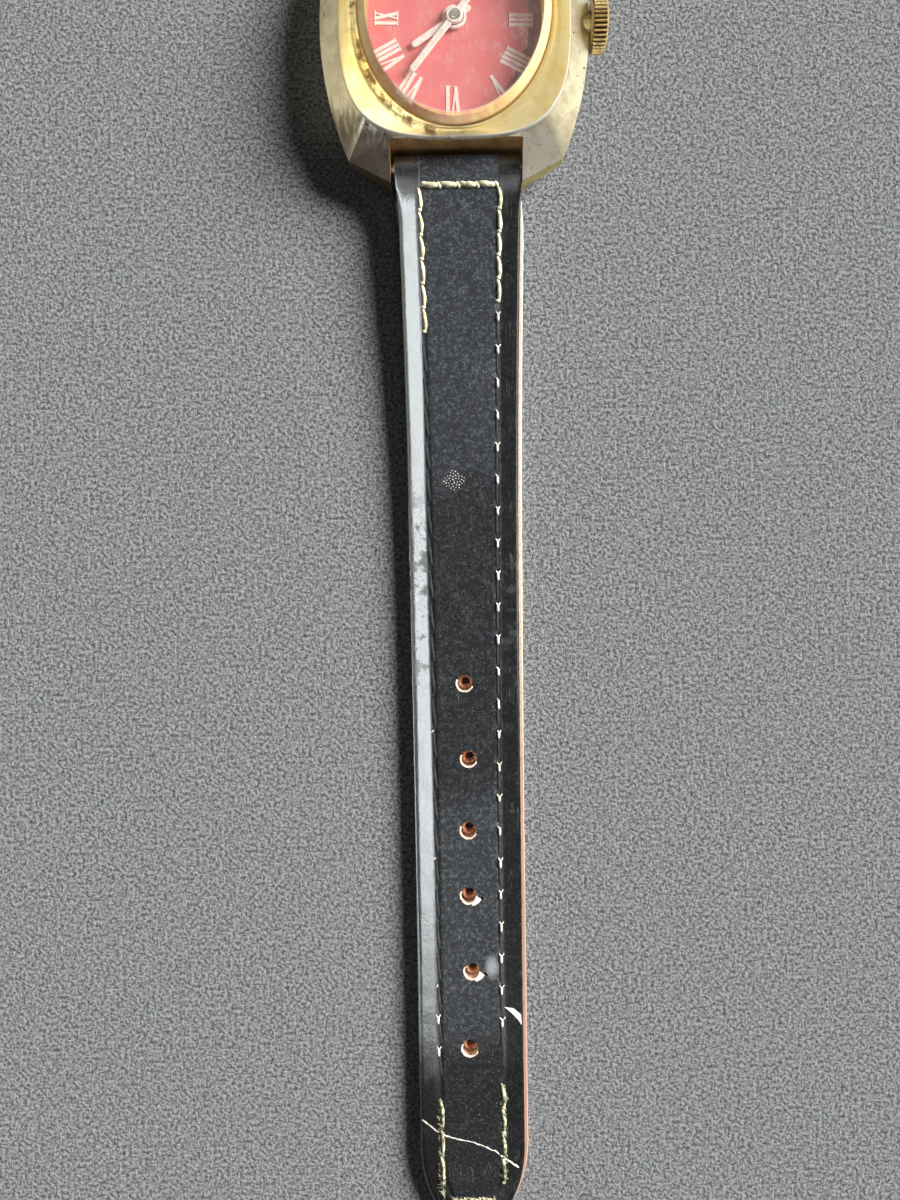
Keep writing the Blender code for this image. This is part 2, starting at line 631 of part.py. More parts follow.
def make_train(mats):
    barrel_radius, center_pinion = pitch_radii(BARREL_SPACING, BARREL_TEETH, CENTER_PINION_TEETH)
    center_radius, third_pinion = pitch_radii(THIRD_SPACING, CENTER_TEETH, THIRD_PINION_TEETH)
    third_radius, fourth_pinion = pitch_radii(FOURTH_SPACING, THIRD_TEETH, FOURTH_PINION_TEETH)
    fourth_radius, escape_pinion = pitch_radii(ESCAPE_SPACING, FOURTH_TEETH, ESCAPE_PINION_TEETH)

    # barrel: a toothed drum, its cover and the spring between them
    drum_bore = circle(3.35, 28)
    center_phase = meshing_phase(0.0, BARREL_TEETH, BARREL, CENTER_PINION_TEETH, CENTRE)
    drum = [
        ([gear(BARREL_TEETH, barrel_radius), circle(0.62, 12)], 1.98, 2.2),
        ([circle(3.6, 28), drum_bore], 2.2, 2.86),
    ]
    on_axis("barrel_drum", drum, BARREL, mats["brass"])
    cover = [([circle(3.6, 28), circle(0.62, 12)], 2.9, 3.02)]
    on_axis("barrel_cover", cover, BARREL, mats["brass"])
    spring = spiral_strip(1.0, 3.2, 3.5, 12, 0.12, 2.26, 2.82)
    spring.transform(Matrix.Translation((*BARREL, 0.0)))
    node("mainspring", spring, mats["steel"], (*BARREL, 0.0))
    arbor = [
        ([circle(0.85, 12)], 0.75, 0.97),
        ([circle(0.42, 4)], 0.97, 1.38),
        ([circle(0.56, 12)], 1.38, 2.24),
        ([circle(0.78, 12)], 2.24, 2.84),
        ([circle(0.56, 12)], 2.84, 4.0),
    ]
    on_axis("barrel_arbor", arbor, BARREL, mats["steel"])

    # center wheel: pinion low, wheel high, long arbor up to the hands
    center = [
        ([circle(0.28, 10)], 1.45, 1.98),
        ([gear(CENTER_PINION_TEETH, center_pinion, center_phase)], 1.98, 2.45),
        ([circle(0.3, 10)], 2.45, 3.02),
        wheel_layers(CENTER_TEETH, center_radius, 0.0, (3.02, 3.18), 0.3),
        ([circle(0.27, 10)], 3.18, 6.3),
    ]
    on_axis("center_wheel", center, CENTRE, mats["brass"])

    third_pinion_phase = meshing_phase(0.0, CENTER_TEETH, CENTRE, THIRD_PINION_TEETH, THIRD)
    third = [
        ([circle(PIVOT, 8)], ARBOR_Z[0], 2.0),
        wheel_layers(THIRD_TEETH, third_radius, 0.0, (2.0, 2.15), 0.2),
        ([circle(0.2, 8)], 2.15, 2.95),
        ([gear(THIRD_PINION_TEETH, third_pinion, third_pinion_phase)], 2.95, 3.24),
        ([circle(PIVOT, 8)], 3.24, ARBOR_Z[1]),
    ]
    on_axis("third_wheel", third, THIRD, mats["brass"])

    fourth_pinion_phase = meshing_phase(0.0, THIRD_TEETH, THIRD, FOURTH_PINION_TEETH, FOURTH)
    fourth = [
        ([circle(PIVOT, 8)], ARBOR_Z[0], 1.97),
        ([gear(FOURTH_PINION_TEETH, fourth_pinion, fourth_pinion_phase)], 1.97, 2.3),
        ([circle(0.17, 8)], 2.3, 2.4),
        wheel_layers(FOURTH_TEETH, fourth_radius, 0.0, (2.4, 2.54), 0.2),
        ([circle(PIVOT, 8)], 2.54, ARBOR_Z[1]),
    ]
    on_axis("fourth_wheel", fourth, FOURTH, mats["brass"])

    # escape wheel: the two stones of the pallet fork stand 30 degrees each side of the line to its
    # pivot, and the teeth stand 6 degrees clear of both
    escape_pinion_phase = meshing_phase(0.0, FOURTH_TEETH, FOURTH, ESCAPE_PINION_TEETH, ESCAPE)
    rim = []
    for i in range(ESCAPE_TEETH):
        middle = PALLET_DIRECTION + 36.0 + 360.0 * i / ESCAPE_TEETH
        rim.append(polar(CENTRE, 1.35, middle - 18.0))
        rim.append(polar(CENTRE, 1.35, middle - 5.0))
        rim.append(polar(CENTRE, 1.72, middle - 1.2))
        rim.append(polar(CENTRE, 1.72, middle + 0.8))
    escape = [
        ([circle(PIVOT, 8)], ARBOR_Z[0], 2.3),
        ([gear(ESCAPE_PINION_TEETH, escape_pinion, escape_pinion_phase)], 2.3, 2.65),
        ([circle(0.15, 8)], 2.65, 2.74),
        ([rim] + windows(4, 0.4, 1.15, 0.22), 2.74, 2.89),
        ([circle(PIVOT, 8)], 2.89, ARBOR_Z[1]),
    ]
    on_axis("escape_wheel", escape, ESCAPE, mats["steel"])

    # pallet fork, drawn with its pivot at the origin and the balance along +X
    stone = 1.79
    lever = []
    for side in (1, -1):
        reach = polar((-PALLET_SPACING, 0.0), stone, side * 30.0)
        inner = polar((-PALLET_SPACING, 0.0), stone, side * 26.5)
        out = polar((-PALLET_SPACING, 0.0), stone + 0.45, side * 31.0)
        half = [(-0.14, side * 0.2), (inner[0] + 0.1, inner[1]), inner, reach, out]
        half += [(0.12, side * 0.3), (0.35, side * 0.09), (1.2, side * 0.09), (1.35, side * 0.3)]
        half += [(1.62, side * 0.3), (1.62, side * 0.16), (1.42, side * 0.14)]
        lever.append(half)
    outline = lever[1] + lever[0][::-1]
    fork = stacked(
        [
            ([circle(0.1, 8)], 2.45, 2.74),
            ([outline], 2.74, 2.89),
            ([circle(0.1, 8)], 2.89, ARBOR_Z[1]),
        ]
    )
    turn = Matrix.Rotation(math.radians(PALLET_DIRECTION), 4, "Z")
    fork.transform(Matrix.Translation((*PALLET, 0.0)) @ turn)
    node("pallet_fork", fork, mats["steel"], (*PALLET, 0.0))

    balance = [
        ([circle(0.09, 8)], ARBOR_Z[0], 1.95),
        ([circle(0.2, 8)], 1.95, 2.15),
        ([circle(2.4, 30)] + windows(2, 0.5, 2.1, 0.35), 2.15, 2.4),
        ([circle(0.16, 8)], 2.4, 2.55),
        ([circle(0.48, 12)], 2.55, 2.66),
        ([circle(0.09, 8)], 2.66, ARBOR_Z[1]),
    ]
    on_axis("balance_wheel", balance, BALANCE, mats["brass"])
    hairspring = spiral_strip(0.36, 1.6, 4.0, 12, 0.05, 1.98, 2.09)
    hairspring.transform(Matrix.Translation((*BALANCE, 0.0)))
    node("hairspring", hairspring, mats["blued_steel"], (*BALANCE, 0.0))


# ---- motion work and hands ---------------------------------------------------------------------------
def hand(name, size, clock, level, boss, hole, material):
    """Straight round-ended hand that points at a clock angle, pressed on its pipe."""
    length, tail = size
    direction = 90.0 - clock
    tip = polar(CENTRE, length - HAND_HALF_WIDTH, direction)
    back = polar(CENTRE, -(tail - HAND_HALF_WIDTH), direction)
    strip = []
    sweep = math.degrees(math.asin(HAND_HALF_WIDTH / boss))
    strip += arc(tip, HAND_HALF_WIDTH, direction - 90, direction + 90, 4)
    strip += arc(CENTRE, boss, direction + sweep, direction + 180 - sweep, 6)
    strip += arc(back, HAND_HALF_WIDTH, direction + 90, direction + 270, 4)
    strip += arc(CENTRE, boss, direction + 180 + sweep, direction + 360 - sweep, 6)
    node(name, stacked([([strip, circle(hole, 16)], *level)]), material)


def make_motion_work(mats):
    cannon_radius, minute_radius = pitch_radii(MINUTE_SPACING, CANNON_TEETH, MINUTE_TEETH)
    minute_pinion, hour_radius = pitch_radii(MINUTE_SPACING, MINUTE_PINION_TEETH, HOUR_TEETH)
    pipe = circle(0.32, 12)
    cannon = [
        ([gear(CANNON_TEETH, cannon_radius), pipe], 4.4, 4.62),
        ([circle(0.48, 14), pipe], 4.62, 6.42),
    ]
    on_axis("cannon_pinion", cannon, CENTRE, mats["steel"])
    phase = meshing_phase(0.0, CANNON_TEETH, CENTRE, MINUTE_TEETH, MINUTE_WHEEL)
    minute = [
        ([circle(0.2, 8)], 3.5, 4.42),
        ([gear(MINUTE_TEETH, minute_radius, phase)], 4.42, 4.56),
        ([gear(MINUTE_PINION_TEETH, minute_pinion, 0.0)], 4.56, 4.92),
    ]
    on_axis("minute_wheel", minute, MINUTE_WHEEL, mats["brass"])
    phase = meshing_phase(0.0, MINUTE_PINION_TEETH, MINUTE_WHEEL, HOUR_TEETH, CENTRE)
    bore = circle(0.55, 14)
    hour = [
        ([gear(HOUR_TEETH, hour_radius, phase), bore], 4.68, 4.86),
        ([circle(0.85, 16), bore], 4.86, 5.94),
    ]
    on_axis("hour_wheel", hour, CENTRE, mats["brass"])
    reach = math.dist(MINUTE_WHEEL, SETTING_WHEEL) - minute_radius
    minute_phase = meshing_phase(0.0, CANNON_TEETH, CENTRE, MINUTE_TEETH, MINUTE_WHEEL)
    phase = meshing_phase(minute_phase, MINUTE_TEETH, MINUTE_WHEEL, SETTING_TEETH, SETTING_WHEEL)
    setting = [([circle(0.2, 8)], 4.26, 4.42), ([gear(SETTING_TEETH, reach, phase)], 4.42, 4.56)]
    on_axis("setting_wheel", setting, SETTING_WHEEL, mats["steel"])
    metal = mats["hand_metal"]
    hand("hour_hand", HOUR_HAND, HOUR_HAND_CLOCK, HOUR_HAND_Z, HOUR_BOSS, 0.88, metal)
    hand("minute_hand", MINUTE_HAND, MINUTE_HAND_CLOCK, MINUTE_HAND_Z, MINUTE_BOSS, 0.51, metal)


# ---- crown, winding and setting ----------------------------------------------------------------------
def on_stem(name, layers, material):
    """Piece on the stem's axis, built along X."""
    bm = turned_to(stacked(layers), ALONG_X)
    bm.transform(Matrix.Translation((0.0, 0.0, STEM_Z)))
    return node(name, bm, material, (0.0, 0.0, STEM_Z))


def make_winding(mats):
    flutes = []
    for i in range(CROWN_FLUTES):
        middle = 360.0 * i / CROWN_FLUTES
        step = 360.0 / CROWN_FLUTES
        flutes.append(polar(CENTRE, CROWN_RADIUS - 0.25, middle - 0.5 * step))
        flutes.append(polar(CENTRE, CROWN_RADIUS, middle))
    recess = circle(1.4, 16)
    crown = [
        ([circle(CROWN_RADIUS - 0.35, 24), recess], CROWN_X[0], CROWN_X[0] + 0.25),
        ([flutes, recess], CROWN_X[0] + 0.25, 15.1),
        ([flutes, circle(0.54, 12)], 15.1, 15.4),
        ([flutes], 15.4, CROWN_X[1] - 0.25),
        ([circle(CROWN_RADIUS - 0.4, 24)], CROWN_X[1] - 0.25, CROWN_X[1]),
    ]
    on_stem("crown", crown, mats["gold"])
    on_stem("crown_gasket", [([circle(1.36, 16), circle(1.16, 16)], 14.7, 14.95)], mats["rubber"])
    stem = [
        ([circle(0.28, 12)], 2.85, 3.75),
        ([circle(0.44, 4)], 3.75, 6.1),
        ([circle(0.5, 12)], 6.1, 7.25),
        ([circle(0.34, 12)], 7.25, 7.75),
        ([circle(0.5, 12)], 7.75, 15.35),
    ]
    on_stem("winding_stem", stem, mats["steel"])
    winding = [([gear(WINDING_TEETH, 0.98), circle(0.55, 12)], 6.15, 6.62)]
    on_stem("winding_pinion", winding, mats["steel"])
    square = circle(0.5, 4)
    sliding = [
        ([gear(10, 0.75), square], 4.35, 4.75),
        ([circle(0.92, 16), square], 4.75, 5.15),
        ([circle(0.58, 16), square], 5.15, 5.5),
        ([circle(0.92, 16), square], 5.5, 6.05),
    ]
    on_stem("sliding_pinion", sliding, mats["steel"])

    lever = [
        ([circle(0.2, 8)], 3.5, 4.45),
        ([capsule((0, 0), (7.5 - LEVER_PIVOT[0], -LEVER_PIVOT[1]), 0.42, 0.28)], 4.45, 4.72),
    ]
    on_axis("setting_lever", lever, LEVER_PIVOT, mats["steel"])
    nose = [(0.4, 0.2), (0.39, 2.42), (0.13, 2.42), (-0.1, 0.9)]
    yoke_plate = arc(CENTRE, 0.45, 150.0, 385.0, 8) + nose
    yoke = [([circle(0.2, 8)], 3.35, 3.75), ([yoke_plate], 3.75, 4.05)]
    on_axis("yoke", yoke, YOKE_PIVOT, mats["steel"])

    spacing = math.dist(CROWN_WHEEL, BARREL)
    crown_radius, ratchet_radius = pitch_radii(spacing, CROWN_WHEEL_TEETH, RATCHET_TEETH)
    face_teeth = gear(CONTRATE_TEETH, 1.52)
    crown_wheel = [([gear(CROWN_WHEEL_TEETH, crown_radius)], *RATCHET_Z), ([circle(1.3, 20)], 1.35, 2.5)]
    crown_wheel.append(([face_teeth], 2.5, 2.95))
    on_axis("crown_wheel", crown_wheel, CROWN_WHEEL, mats["steel"])
    phase = meshing_phase(0.0, CROWN_WHEEL_TEETH, CROWN_WHEEL, RATCHET_TEETH, BARREL)
    ratchet = [([gear(RATCHET_TEETH, ratchet_radius, phase), circle(0.47, 4)], *RATCHET_Z)]
    on_axis("ratchet_wheel", ratchet, BARREL, mats["steel"])

    tip = ratchet_radius + 0.22 * (2 * math.pi * ratchet_radius / RATCHET_TEETH) + 0.06
    beak = polar(BARREL, tip, 150.0)
    toe = polar(BARREL, tip + 0.55, 146.0)
    pawl = arc(CLICK_PIVOT, 0.4, 120.0, 330.0, 6) + [beak, toe]
    click = stacked([([pawl], 1.02, 1.3), ([circle(0.2, 8, CLICK_PIVOT)], 1.3, 1.85)])
    node("click", click, mats["steel"], (*CLICK_PIVOT, 0.0))


# ---- spring bars -------------------------------------------------------------------------------------
def make_spring_bars(mats):
    for hour, y in (("6", -BAR_Y), ("12", BAR_Y)):
        place = Matrix.Translation((0.0, y, BAR_Z))
        tube = turned_to(stacked([([circle(0.85, 14), circle(0.47, 12)], -6.7, 6.7)]), ALONG_X)
        tube.transform(place)
        node(f"spring_bar_{hour}_tube", tube, mats["steel"], (0.0, y, BAR_Z))
        for side, name in ((-1, "left"), (1, "right")):
            near, far = sorted((side * 4.9, side * 8.05))
            pin = turned_to(rod(0.4, near, far, 12), ALONG_X)
            pin.transform(place)
            node(f"spring_bar_{hour}_pin_{name}", pin, mats["steel"], (side * 8.05, y, BAR_Z))
        turns = 5
        steps = 7 * turns
        coil = []
        for i in range(steps + 1):
            angle = 2 * math.pi * turns * i / steps
            coil.append((-3.6 + 7.2 * i / steps, 0.3 * math.cos(angle), 0.3 * math.sin(angle)))
        spring = tube_along(coil, 0.07, 4)
        spring.transform(place)
        node(f"spring_bar_{hour}_spring", spring, mats["steel"], (0.0, y, BAR_Z))


# ---- strap -------------------------------------------------------------------------------------------
def strap_half_width(s):
    """Half width at a distance from the spring bar."""
    return 5.8 + 1.1 * math.exp(-max(s, 0.0) / 32.0)


def long_strap_line(s):
    """Underside height and thickness of the 6 o'clock strap."""
    s = max(s, 0.0)
    return 1.15 * math.exp(-((s / 22.0) ** 2)), 2.1 + 1.2 * math.exp(-s / 40.0)


def short_strap_line(s):
    """Underside height and thickness of the 12 o'clock strap, which the keepers lift off the table."""
    drop = min(max((s - 69.8) / 4.0, 0.0), 1.0)
    drop = drop * drop * (3 - 2 * drop)
    low = 0.9 + 0.25 * math.exp(-max(s, 0.0) / 10.0)
    return low - drop * (low - 0.06), 2.35 + 0.93 * math.exp(-max(s, 0.0) / 25.0)


def cross_section(half, low, high, y, drop):
    """Flat underside, raised middle and margins that slope down to the edges."""
    margin = min(MARGIN_WIDTH, 0.45 * half)
    inner = half - margin
    side = high - drop
    points = [(-half, low), (half, low), (half, side), (inner, high), (-inner, high), (-half, side)]
    return [(x, y, z) for x, z in points]


def round_end(centre_s, centre_z, radius, outward, steps=5):
    """Stations of a strap end rolled round its bar, from the outermost one inwards."""
    stations = []
    for i in range(steps):
        angle = math.radians(8.0 + 82.0 * i / (steps - 1))
        s = centre_s + outward * radius * math.cos(angle)
        half_height = radius * math.sin(angle)
        stations.append((s, centre_z - half_height, centre_z + half_height))
    return stations


def strap_solid(stations, direction, inset, tip_start=None):
    """Loft through (distance, low, high) stations, from the case outwards."""
    rings = []
    for s, low, high in stations:
        half = strap_half_width(s) - inset
        if tip_start is not None and s > tip_start:
            half *= math.sqrt(max(1 - ((s - tip_start) / TIP_LENGTH) ** 2, 0.001))
        drop = min(MARGIN_DROP, 0.4 * (high - low))
        rings.append(cross_section(half, low, high, direction * (BAR_Y + s), drop))
    return lofted(rings)


def make_long_strap(mats):
    tip_start = LONG_STRAP - TIP_LENGTH
    stations = round_end(0.0, BAR_Z, STRAP_END_RADIUS, -1)
    stations.append((2.4, long_strap_line(2.4)[0] + 0.03, sum(long_strap_line(2.4))))
    distances = [2.9, 8, 16, 26, 38, 54, 72, 90, tip_start]
    distances += [tip_start + TIP_LENGTH * f for f in (0.3, 0.55, 0.75, 0.9, 0.98)]
    lift = LINING_THICKNESS + LAYER_GAP
    for s in distances:
        low, thickness = long_strap_line(s)
        stations.append((s, low + lift, low + thickness))
    origin = (0.0, -BAR_Y, BAR_Z)
    leather_solid = strap_solid(stations, -1, LEATHER_INSET, tip_start)
    leather = node("strap_6_leather", leather_solid, mats["leather"], origin)
    lining_stations = []
    for s in [3.1] + distances[1:]:
        low = long_strap_line(s)[0]
        lining_stations.append((s, low, low + LINING_THICKNESS))
    lining = strap_solid(lining_stations, -1, 0.0, tip_start)
    lining_object = node("strap_6_lining", lining, mats["lining"], origin)
    holes = [(0.0, -(BAR_Y + FIRST_HOLE + i * HOLE_PITCH)) for i in range(HOLE_COUNT)]
    bar_bore = rod_x(STRAP_BORE, -9.0, 9.0, -BAR_Y, BAR_Z, 14)
    cut(leather, [bar_bore] + [rod(HOLE_RADIUS, -1.0, 5.0, 12, hole) for hole in holes])
    cut(lining_object, [rod(HOLE_RADIUS, -1.0, 5.0, 12, hole) for hole in holes])


def make_short_strap(mats):
    stations = round_end(0.0, BAR_Z, STRAP_END_RADIUS, -1)
    stations.append((2.4, short_strap_line(2.4)[0] + 0.03, sum(short_strap_line(2.4))))
    distances = [2.9, 8, 16, 28, 44, 60, 69.5, 70.8, 71.8]
    lift = LINING_THICKNESS + LAYER_GAP
    for s in distances:
        low, thickness = short_strap_line(s)
        stations.append((s, low + lift, low + thickness))
    stations.append((72.6, short_strap_line(72.6)[0] + 0.02, sum(short_strap_line(72.6))))
    stations += reversed(round_end(SHORT_STRAP, BUCKLE_Z, BUCKLE_LOOP_RADIUS, 1))
    origin = (0.0, BAR_Y, BAR_Z)
    leather = node("strap_12_leather", strap_solid(stations, 1, LEATHER_INSET), mats["leather"], origin)
    lining_stations = []
    for s in [3.1] + distances[1:]:
        low = short_strap_line(s)[0]
        lining_stations.append((s, low, low + LINING_THICKNESS))
    node("strap_12_lining", strap_solid(lining_stations, 1, 0.0), mats["lining"], origin)
    slot = box((-1.3, BUCKLE_Y - 2.4, -1.0), (1.3, BUCKLE_Y + 3.0, 5.0))
    bar_bore = rod_x(STRAP_BORE, -9.0, 9.0, BAR_Y, BAR_Z, 14)
    buckle_bore = rod_x(BUCKLE_BAR + 0.08, -9.0, 9.0, BUCKLE_Y, BUCKLE_Z, 14)
    cut(leather, [bar_bore, buckle_bore, slot])


def rounded_rectangle(low, high, radius, steps=3):
    """Rectangle with round corners, as (x, y) points."""
    corners = (
        ((high[0] - radius, high[1] - radius), 0),
        ((low[0] + radius, high[1] - radius), 90),
        ((low[0] + radius, low[1] + radius), 180),
        ((high[0] - radius, low[1] + radius), 270),
    )
    points = []
    for centre, first in corners:
        points += arc(centre, radius, first, first + 90, steps)
    return points


def make_keepers(mats):
    outside = KEEPER_INSIDE + KEEPER_WALL
    outer = rounded_rectangle((-outside, 0.0), (outside, KEEPER_TOP), 1.1)
    inside_top = KEEPER_TOP - KEEPER_WALL
    inner = rounded_rectangle((-KEEPER_INSIDE, KEEPER_WALL), (KEEPER_INSIDE, inside_top), 0.3)
    half = KEEPER_LENGTH / 2
    for name, middle in (("free_keeper", FREE_KEEPER_Y), ("fixed_keeper", FIXED_KEEPER_Y)):
        band = turned_to(stacked([([outer, inner], middle - half, middle + half)]), ALONG_Y)
        node(name, band, mats["leather"], (0.0, middle, 0.0))


def make_buckle(mats):
    start = BUCKLE_Y - 1.1
    end = BUCKLE_Y + BUCKLE_LENGTH
    inner_end = end - 2.2
    outline = [(BUCKLE_INSIDE, start), (BUCKLE_OUTSIDE, start)]
    outline += arc((BUCKLE_OUTSIDE - 2.0, end - 2.0), 2.0, 0, 90, 4)
    outline += arc((-BUCKLE_OUTSIDE + 2.0, end - 2.0), 2.0, 90, 180, 4)
    outline += [(-BUCKLE_OUTSIDE, start), (-BUCKLE_INSIDE, start)]
    outline += arc((-BUCKLE_INSIDE + 0.6, inner_end - 0.6), 0.6, 180, 90, 2)
    outline += arc((BUCKLE_INSIDE - 0.6, inner_end - 0.6), 0.6, 90, 0, 2)
    origin = (0.0, BUCKLE_Y, BUCKLE_Z)
    frame = node("buckle_frame", stacked([([outline], 0.0, BUCKLE_TOP)]), mats["gold"], origin)
    rounding = frame.modifiers.new("round_edges", "BEVEL")
    rounding.width = 0.45 * MM
    rounding.segments = 2
    rounding.limit_method = "ANGLE"
    rounding.angle_limit = math.radians(50)
    cut(frame, [rod_x(BUCKLE_BAR + 0.05, -9.5, 9.5, BUCKLE_Y, BUCKLE_Z, 14)])

    bar = rod_x(BUCKLE_BAR, -BUCKLE_OUTSIDE + 0.1, BUCKLE_OUTSIDE - 0.1, BUCKLE_Y, BUCKLE_Z, 14)
    node("buckle_bar", bar, mats["steel"], origin)

    # tongue: drawn as (y, z) in its side view, then extruded across the strap
    side = arc((BUCKLE_Y, BUCKLE_Z), 1.1, 55.0, 330.0, 12)
    side += [(BUCKLE_Y + 3.0, 1.35), (inner_end - 0.4, 2.25), (end + 0.3, 2.25), (end + 0.6, 2.45)]
    side += [(end + 0.3, 2.95), (inner_end - 0.6, 3.1), (BUCKLE_Y + 2.6, 2.35)]
    tongue = turned_to(stacked([([side], -0.9, 0.9)]), ALONG_X)
    tongue_object = node("buckle_tongue", tongue, mats["gold"], origin)
    cut(tongue_object, [rod_x(BUCKLE_BAR + 0.06, -2.0, 2.0, BUCKLE_Y, BUCKLE_Z, 14)])


def main():
    clear_scene()
    mats = make_materials()
    make_case(mats)
    make_plates(mats)
    make_train(mats)
    make_motion_work(mats)
    make_winding(mats)
    make_spring_bars(mats)
    make_long_strap(mats)
    make_short_strap(mats)
    make_keepers(mats)
    make_buckle(mats)


main()
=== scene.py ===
"""Looks of the wristwatch: camera, light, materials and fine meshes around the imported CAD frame.

Shapes are written in millimetres and scaled to metres once, in make_object().
"""

import json
import math
from collections import namedtuple

import bmesh
import bpy
from mathutils import Matrix, Vector, noise


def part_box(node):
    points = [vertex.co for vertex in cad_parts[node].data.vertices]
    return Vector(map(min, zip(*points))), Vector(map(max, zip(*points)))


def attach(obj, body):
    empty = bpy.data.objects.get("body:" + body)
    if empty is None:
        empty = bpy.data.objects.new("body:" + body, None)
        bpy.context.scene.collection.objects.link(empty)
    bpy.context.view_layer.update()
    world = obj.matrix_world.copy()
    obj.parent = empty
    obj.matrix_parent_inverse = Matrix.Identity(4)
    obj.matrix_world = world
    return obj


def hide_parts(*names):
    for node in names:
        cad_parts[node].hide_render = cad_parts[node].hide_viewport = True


MM = 0.001
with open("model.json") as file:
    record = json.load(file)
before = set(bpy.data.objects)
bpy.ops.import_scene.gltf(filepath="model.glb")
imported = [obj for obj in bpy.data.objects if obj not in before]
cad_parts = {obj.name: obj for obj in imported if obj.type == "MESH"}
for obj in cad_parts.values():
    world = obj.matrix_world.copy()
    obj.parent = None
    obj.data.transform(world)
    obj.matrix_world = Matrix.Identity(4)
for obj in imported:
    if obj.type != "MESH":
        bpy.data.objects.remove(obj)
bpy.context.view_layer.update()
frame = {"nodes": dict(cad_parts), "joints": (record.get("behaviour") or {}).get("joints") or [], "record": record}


def box_mm(node):
    """Lowest and highest corner of a CAD node, in millimetres."""
    low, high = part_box(node)
    return Vector(low) / MM, Vector(high) / MM


def joint_position(name):
    """A joint's point in millimetres."""
    for joint in frame["joints"]:
        if joint["name"] == name:
            return Vector(joint["pos_m"]) / MM
    raise KeyError(name)


# ---- sizes taken from the frame
BEZEL_LOW, BEZEL_HIGH = box_mm("bezel")
CRYSTAL_LOW, CRYSTAL_HIGH = box_mm("crystal")
CASE_LOW, CASE_HIGH = box_mm("mid_case")
CROWN_LOW, CROWN_HIGH = box_mm("crown")
BUCKLE = joint_position("buckle_hinge")
CUSHION = (BEZEL_HIGH.x, BEZEL_HIGH.y)
CUSHION_POWER = 3.15
CRYSTAL = (CRYSTAL_HIGH.x, CRYSTAL_HIGH.y)
OPENING = (9.1, 11.25)
DIAL_Z = box_mm("dial")[1].z
BAR_Y, BAR_Z = joint_position("strap_12_hinge").yz
LONG_STRAP = -box_mm("strap_6_lining")[0].y - BAR_Y
SHORT_STRAP = BUCKLE.y - BAR_Y
TIP_LENGTH = 9.0
STRAP_SHIFT = 0.25
STEM_Z = (CROWN_LOW.z + CROWN_HIGH.z) / 2
CROWN_SWELL = 1.07


# ---- camera, floor and light
KEY_FROM = (860, 360, 540)
KEY_STRENGTH = 8.2
KEY_SOFTNESS = 30.0
BACKDROP_SEEN = 0.34
BACKDROP_LIGHT = 0.03
FLOOR_REACH = 1500.0
FLOOR_Z = -0.02


def add_object(name, data, place=(0, 0, 0)):
    """New object in the scene, at a point in millimetres."""
    obj = bpy.data.objects.new(name, data)
    obj.location = Vector(place) * MM
    bpy.context.scene.collection.objects.link(obj)
    return obj


def make_camera():
    """Camera straight above the middle of the long strap, close, as a phone is held."""
    data = bpy.data.cameras.new("camera")
    data.lens = 28.5
    data.sensor_width = 36.0
    data.clip_start = 0.005
    data.clip_end = 5.0
    camera = add_object("camera", data, (-1.35, -60.87, 105.0))
    camera.rotation_euler = (0.0, 0.0, math.radians(-0.85))
    bpy.context.scene.camera = camera


def turned_to(direction):
    return Vector(direction).to_track_quat("-Z", "Y").to_euler()


def area_light(name, place, target, size, power, colour, diffuse=False):
    """Soft rectangular light aimed at a point: a card that is only reflected, or a lamp."""
    data = bpy.data.lights.new(name, "AREA")
    data.shape = "RECTANGLE"
    data.size = size[0] * MM
    data.size_y = size[1] * MM
    data.energy = power
    data.color = colour
    light = add_object(name, data, place)
    light.rotation_euler = turned_to(Vector(target) - Vector(place))
    light.visible_diffuse = diffuse
    light.visible_glossy = not diffuse
    light.visible_camera = False


def make_lights():
    """Soft parallel key from the right, a faint fill from below the picture, and cards that only reflect."""
    key = bpy.data.lights.new("key", "SUN")
    key.energy = KEY_STRENGTH
    key.angle = math.radians(KEY_SOFTNESS)
    key.color = (1.0, 0.985, 0.96)
    lamp = add_object("key", key)
    lamp.rotation_euler = turned_to(-Vector(KEY_FROM))
    lamp.visible_glossy = False
    area_light("fill", (60, -640, 250), (0, -10, 0), (260, 160), 0.3, (1.0, 0.96, 0.9), True)
    area_light("left_strip", (-330, -30, 520), (0, -30, 0), (640, 150), 2.6, (0.92, 0.98, 1.0))
    area_light("left_card", (-420, 20, 120), (0, -10, 5), (500, 220), 0.46, (1.0, 0.92, 0.76))
    area_light("right_card", (420, 0, 60), (0, 0, 5), (500, 160), 0.56, (1.0, 1.0, 0.97))
    area_light("top_card", (-60, -90, 700), (-60, -90, 0), (460, 780), 1.05, (1.0, 1.0, 1.0))
    area_light("low_card", (0, -520, 420), (0, -10, 5), (500, 240), 1.15, (1.0, 0.96, 0.84))
    world = bpy.data.worlds.new("studio")
    world.use_nodes = True
    tree = world.node_tree
    backdrop = tree.nodes["Background"]
    backdrop.inputs["Color"].default_value = (0.95, 0.98, 1.0, 1.0)
    # the backdrop looks pale, but adds next to no light
    strength = tree.nodes.new("ShaderNodeMapRange")
    strength.inputs["To Min"].default_value = BACKDROP_LIGHT
    strength.inputs["To Max"].default_value = BACKDROP_SEEN
    tree.links.new(tree.nodes.new("ShaderNodeLightPath").outputs["Is Camera Ray"], strength.inputs["Value"])
    tree.links.new(strength.outputs["Result"], backdrop.inputs["Strength"])
    bpy.context.scene.world = world
    bpy.context.scene.view_settings.view_transform = "Standard"


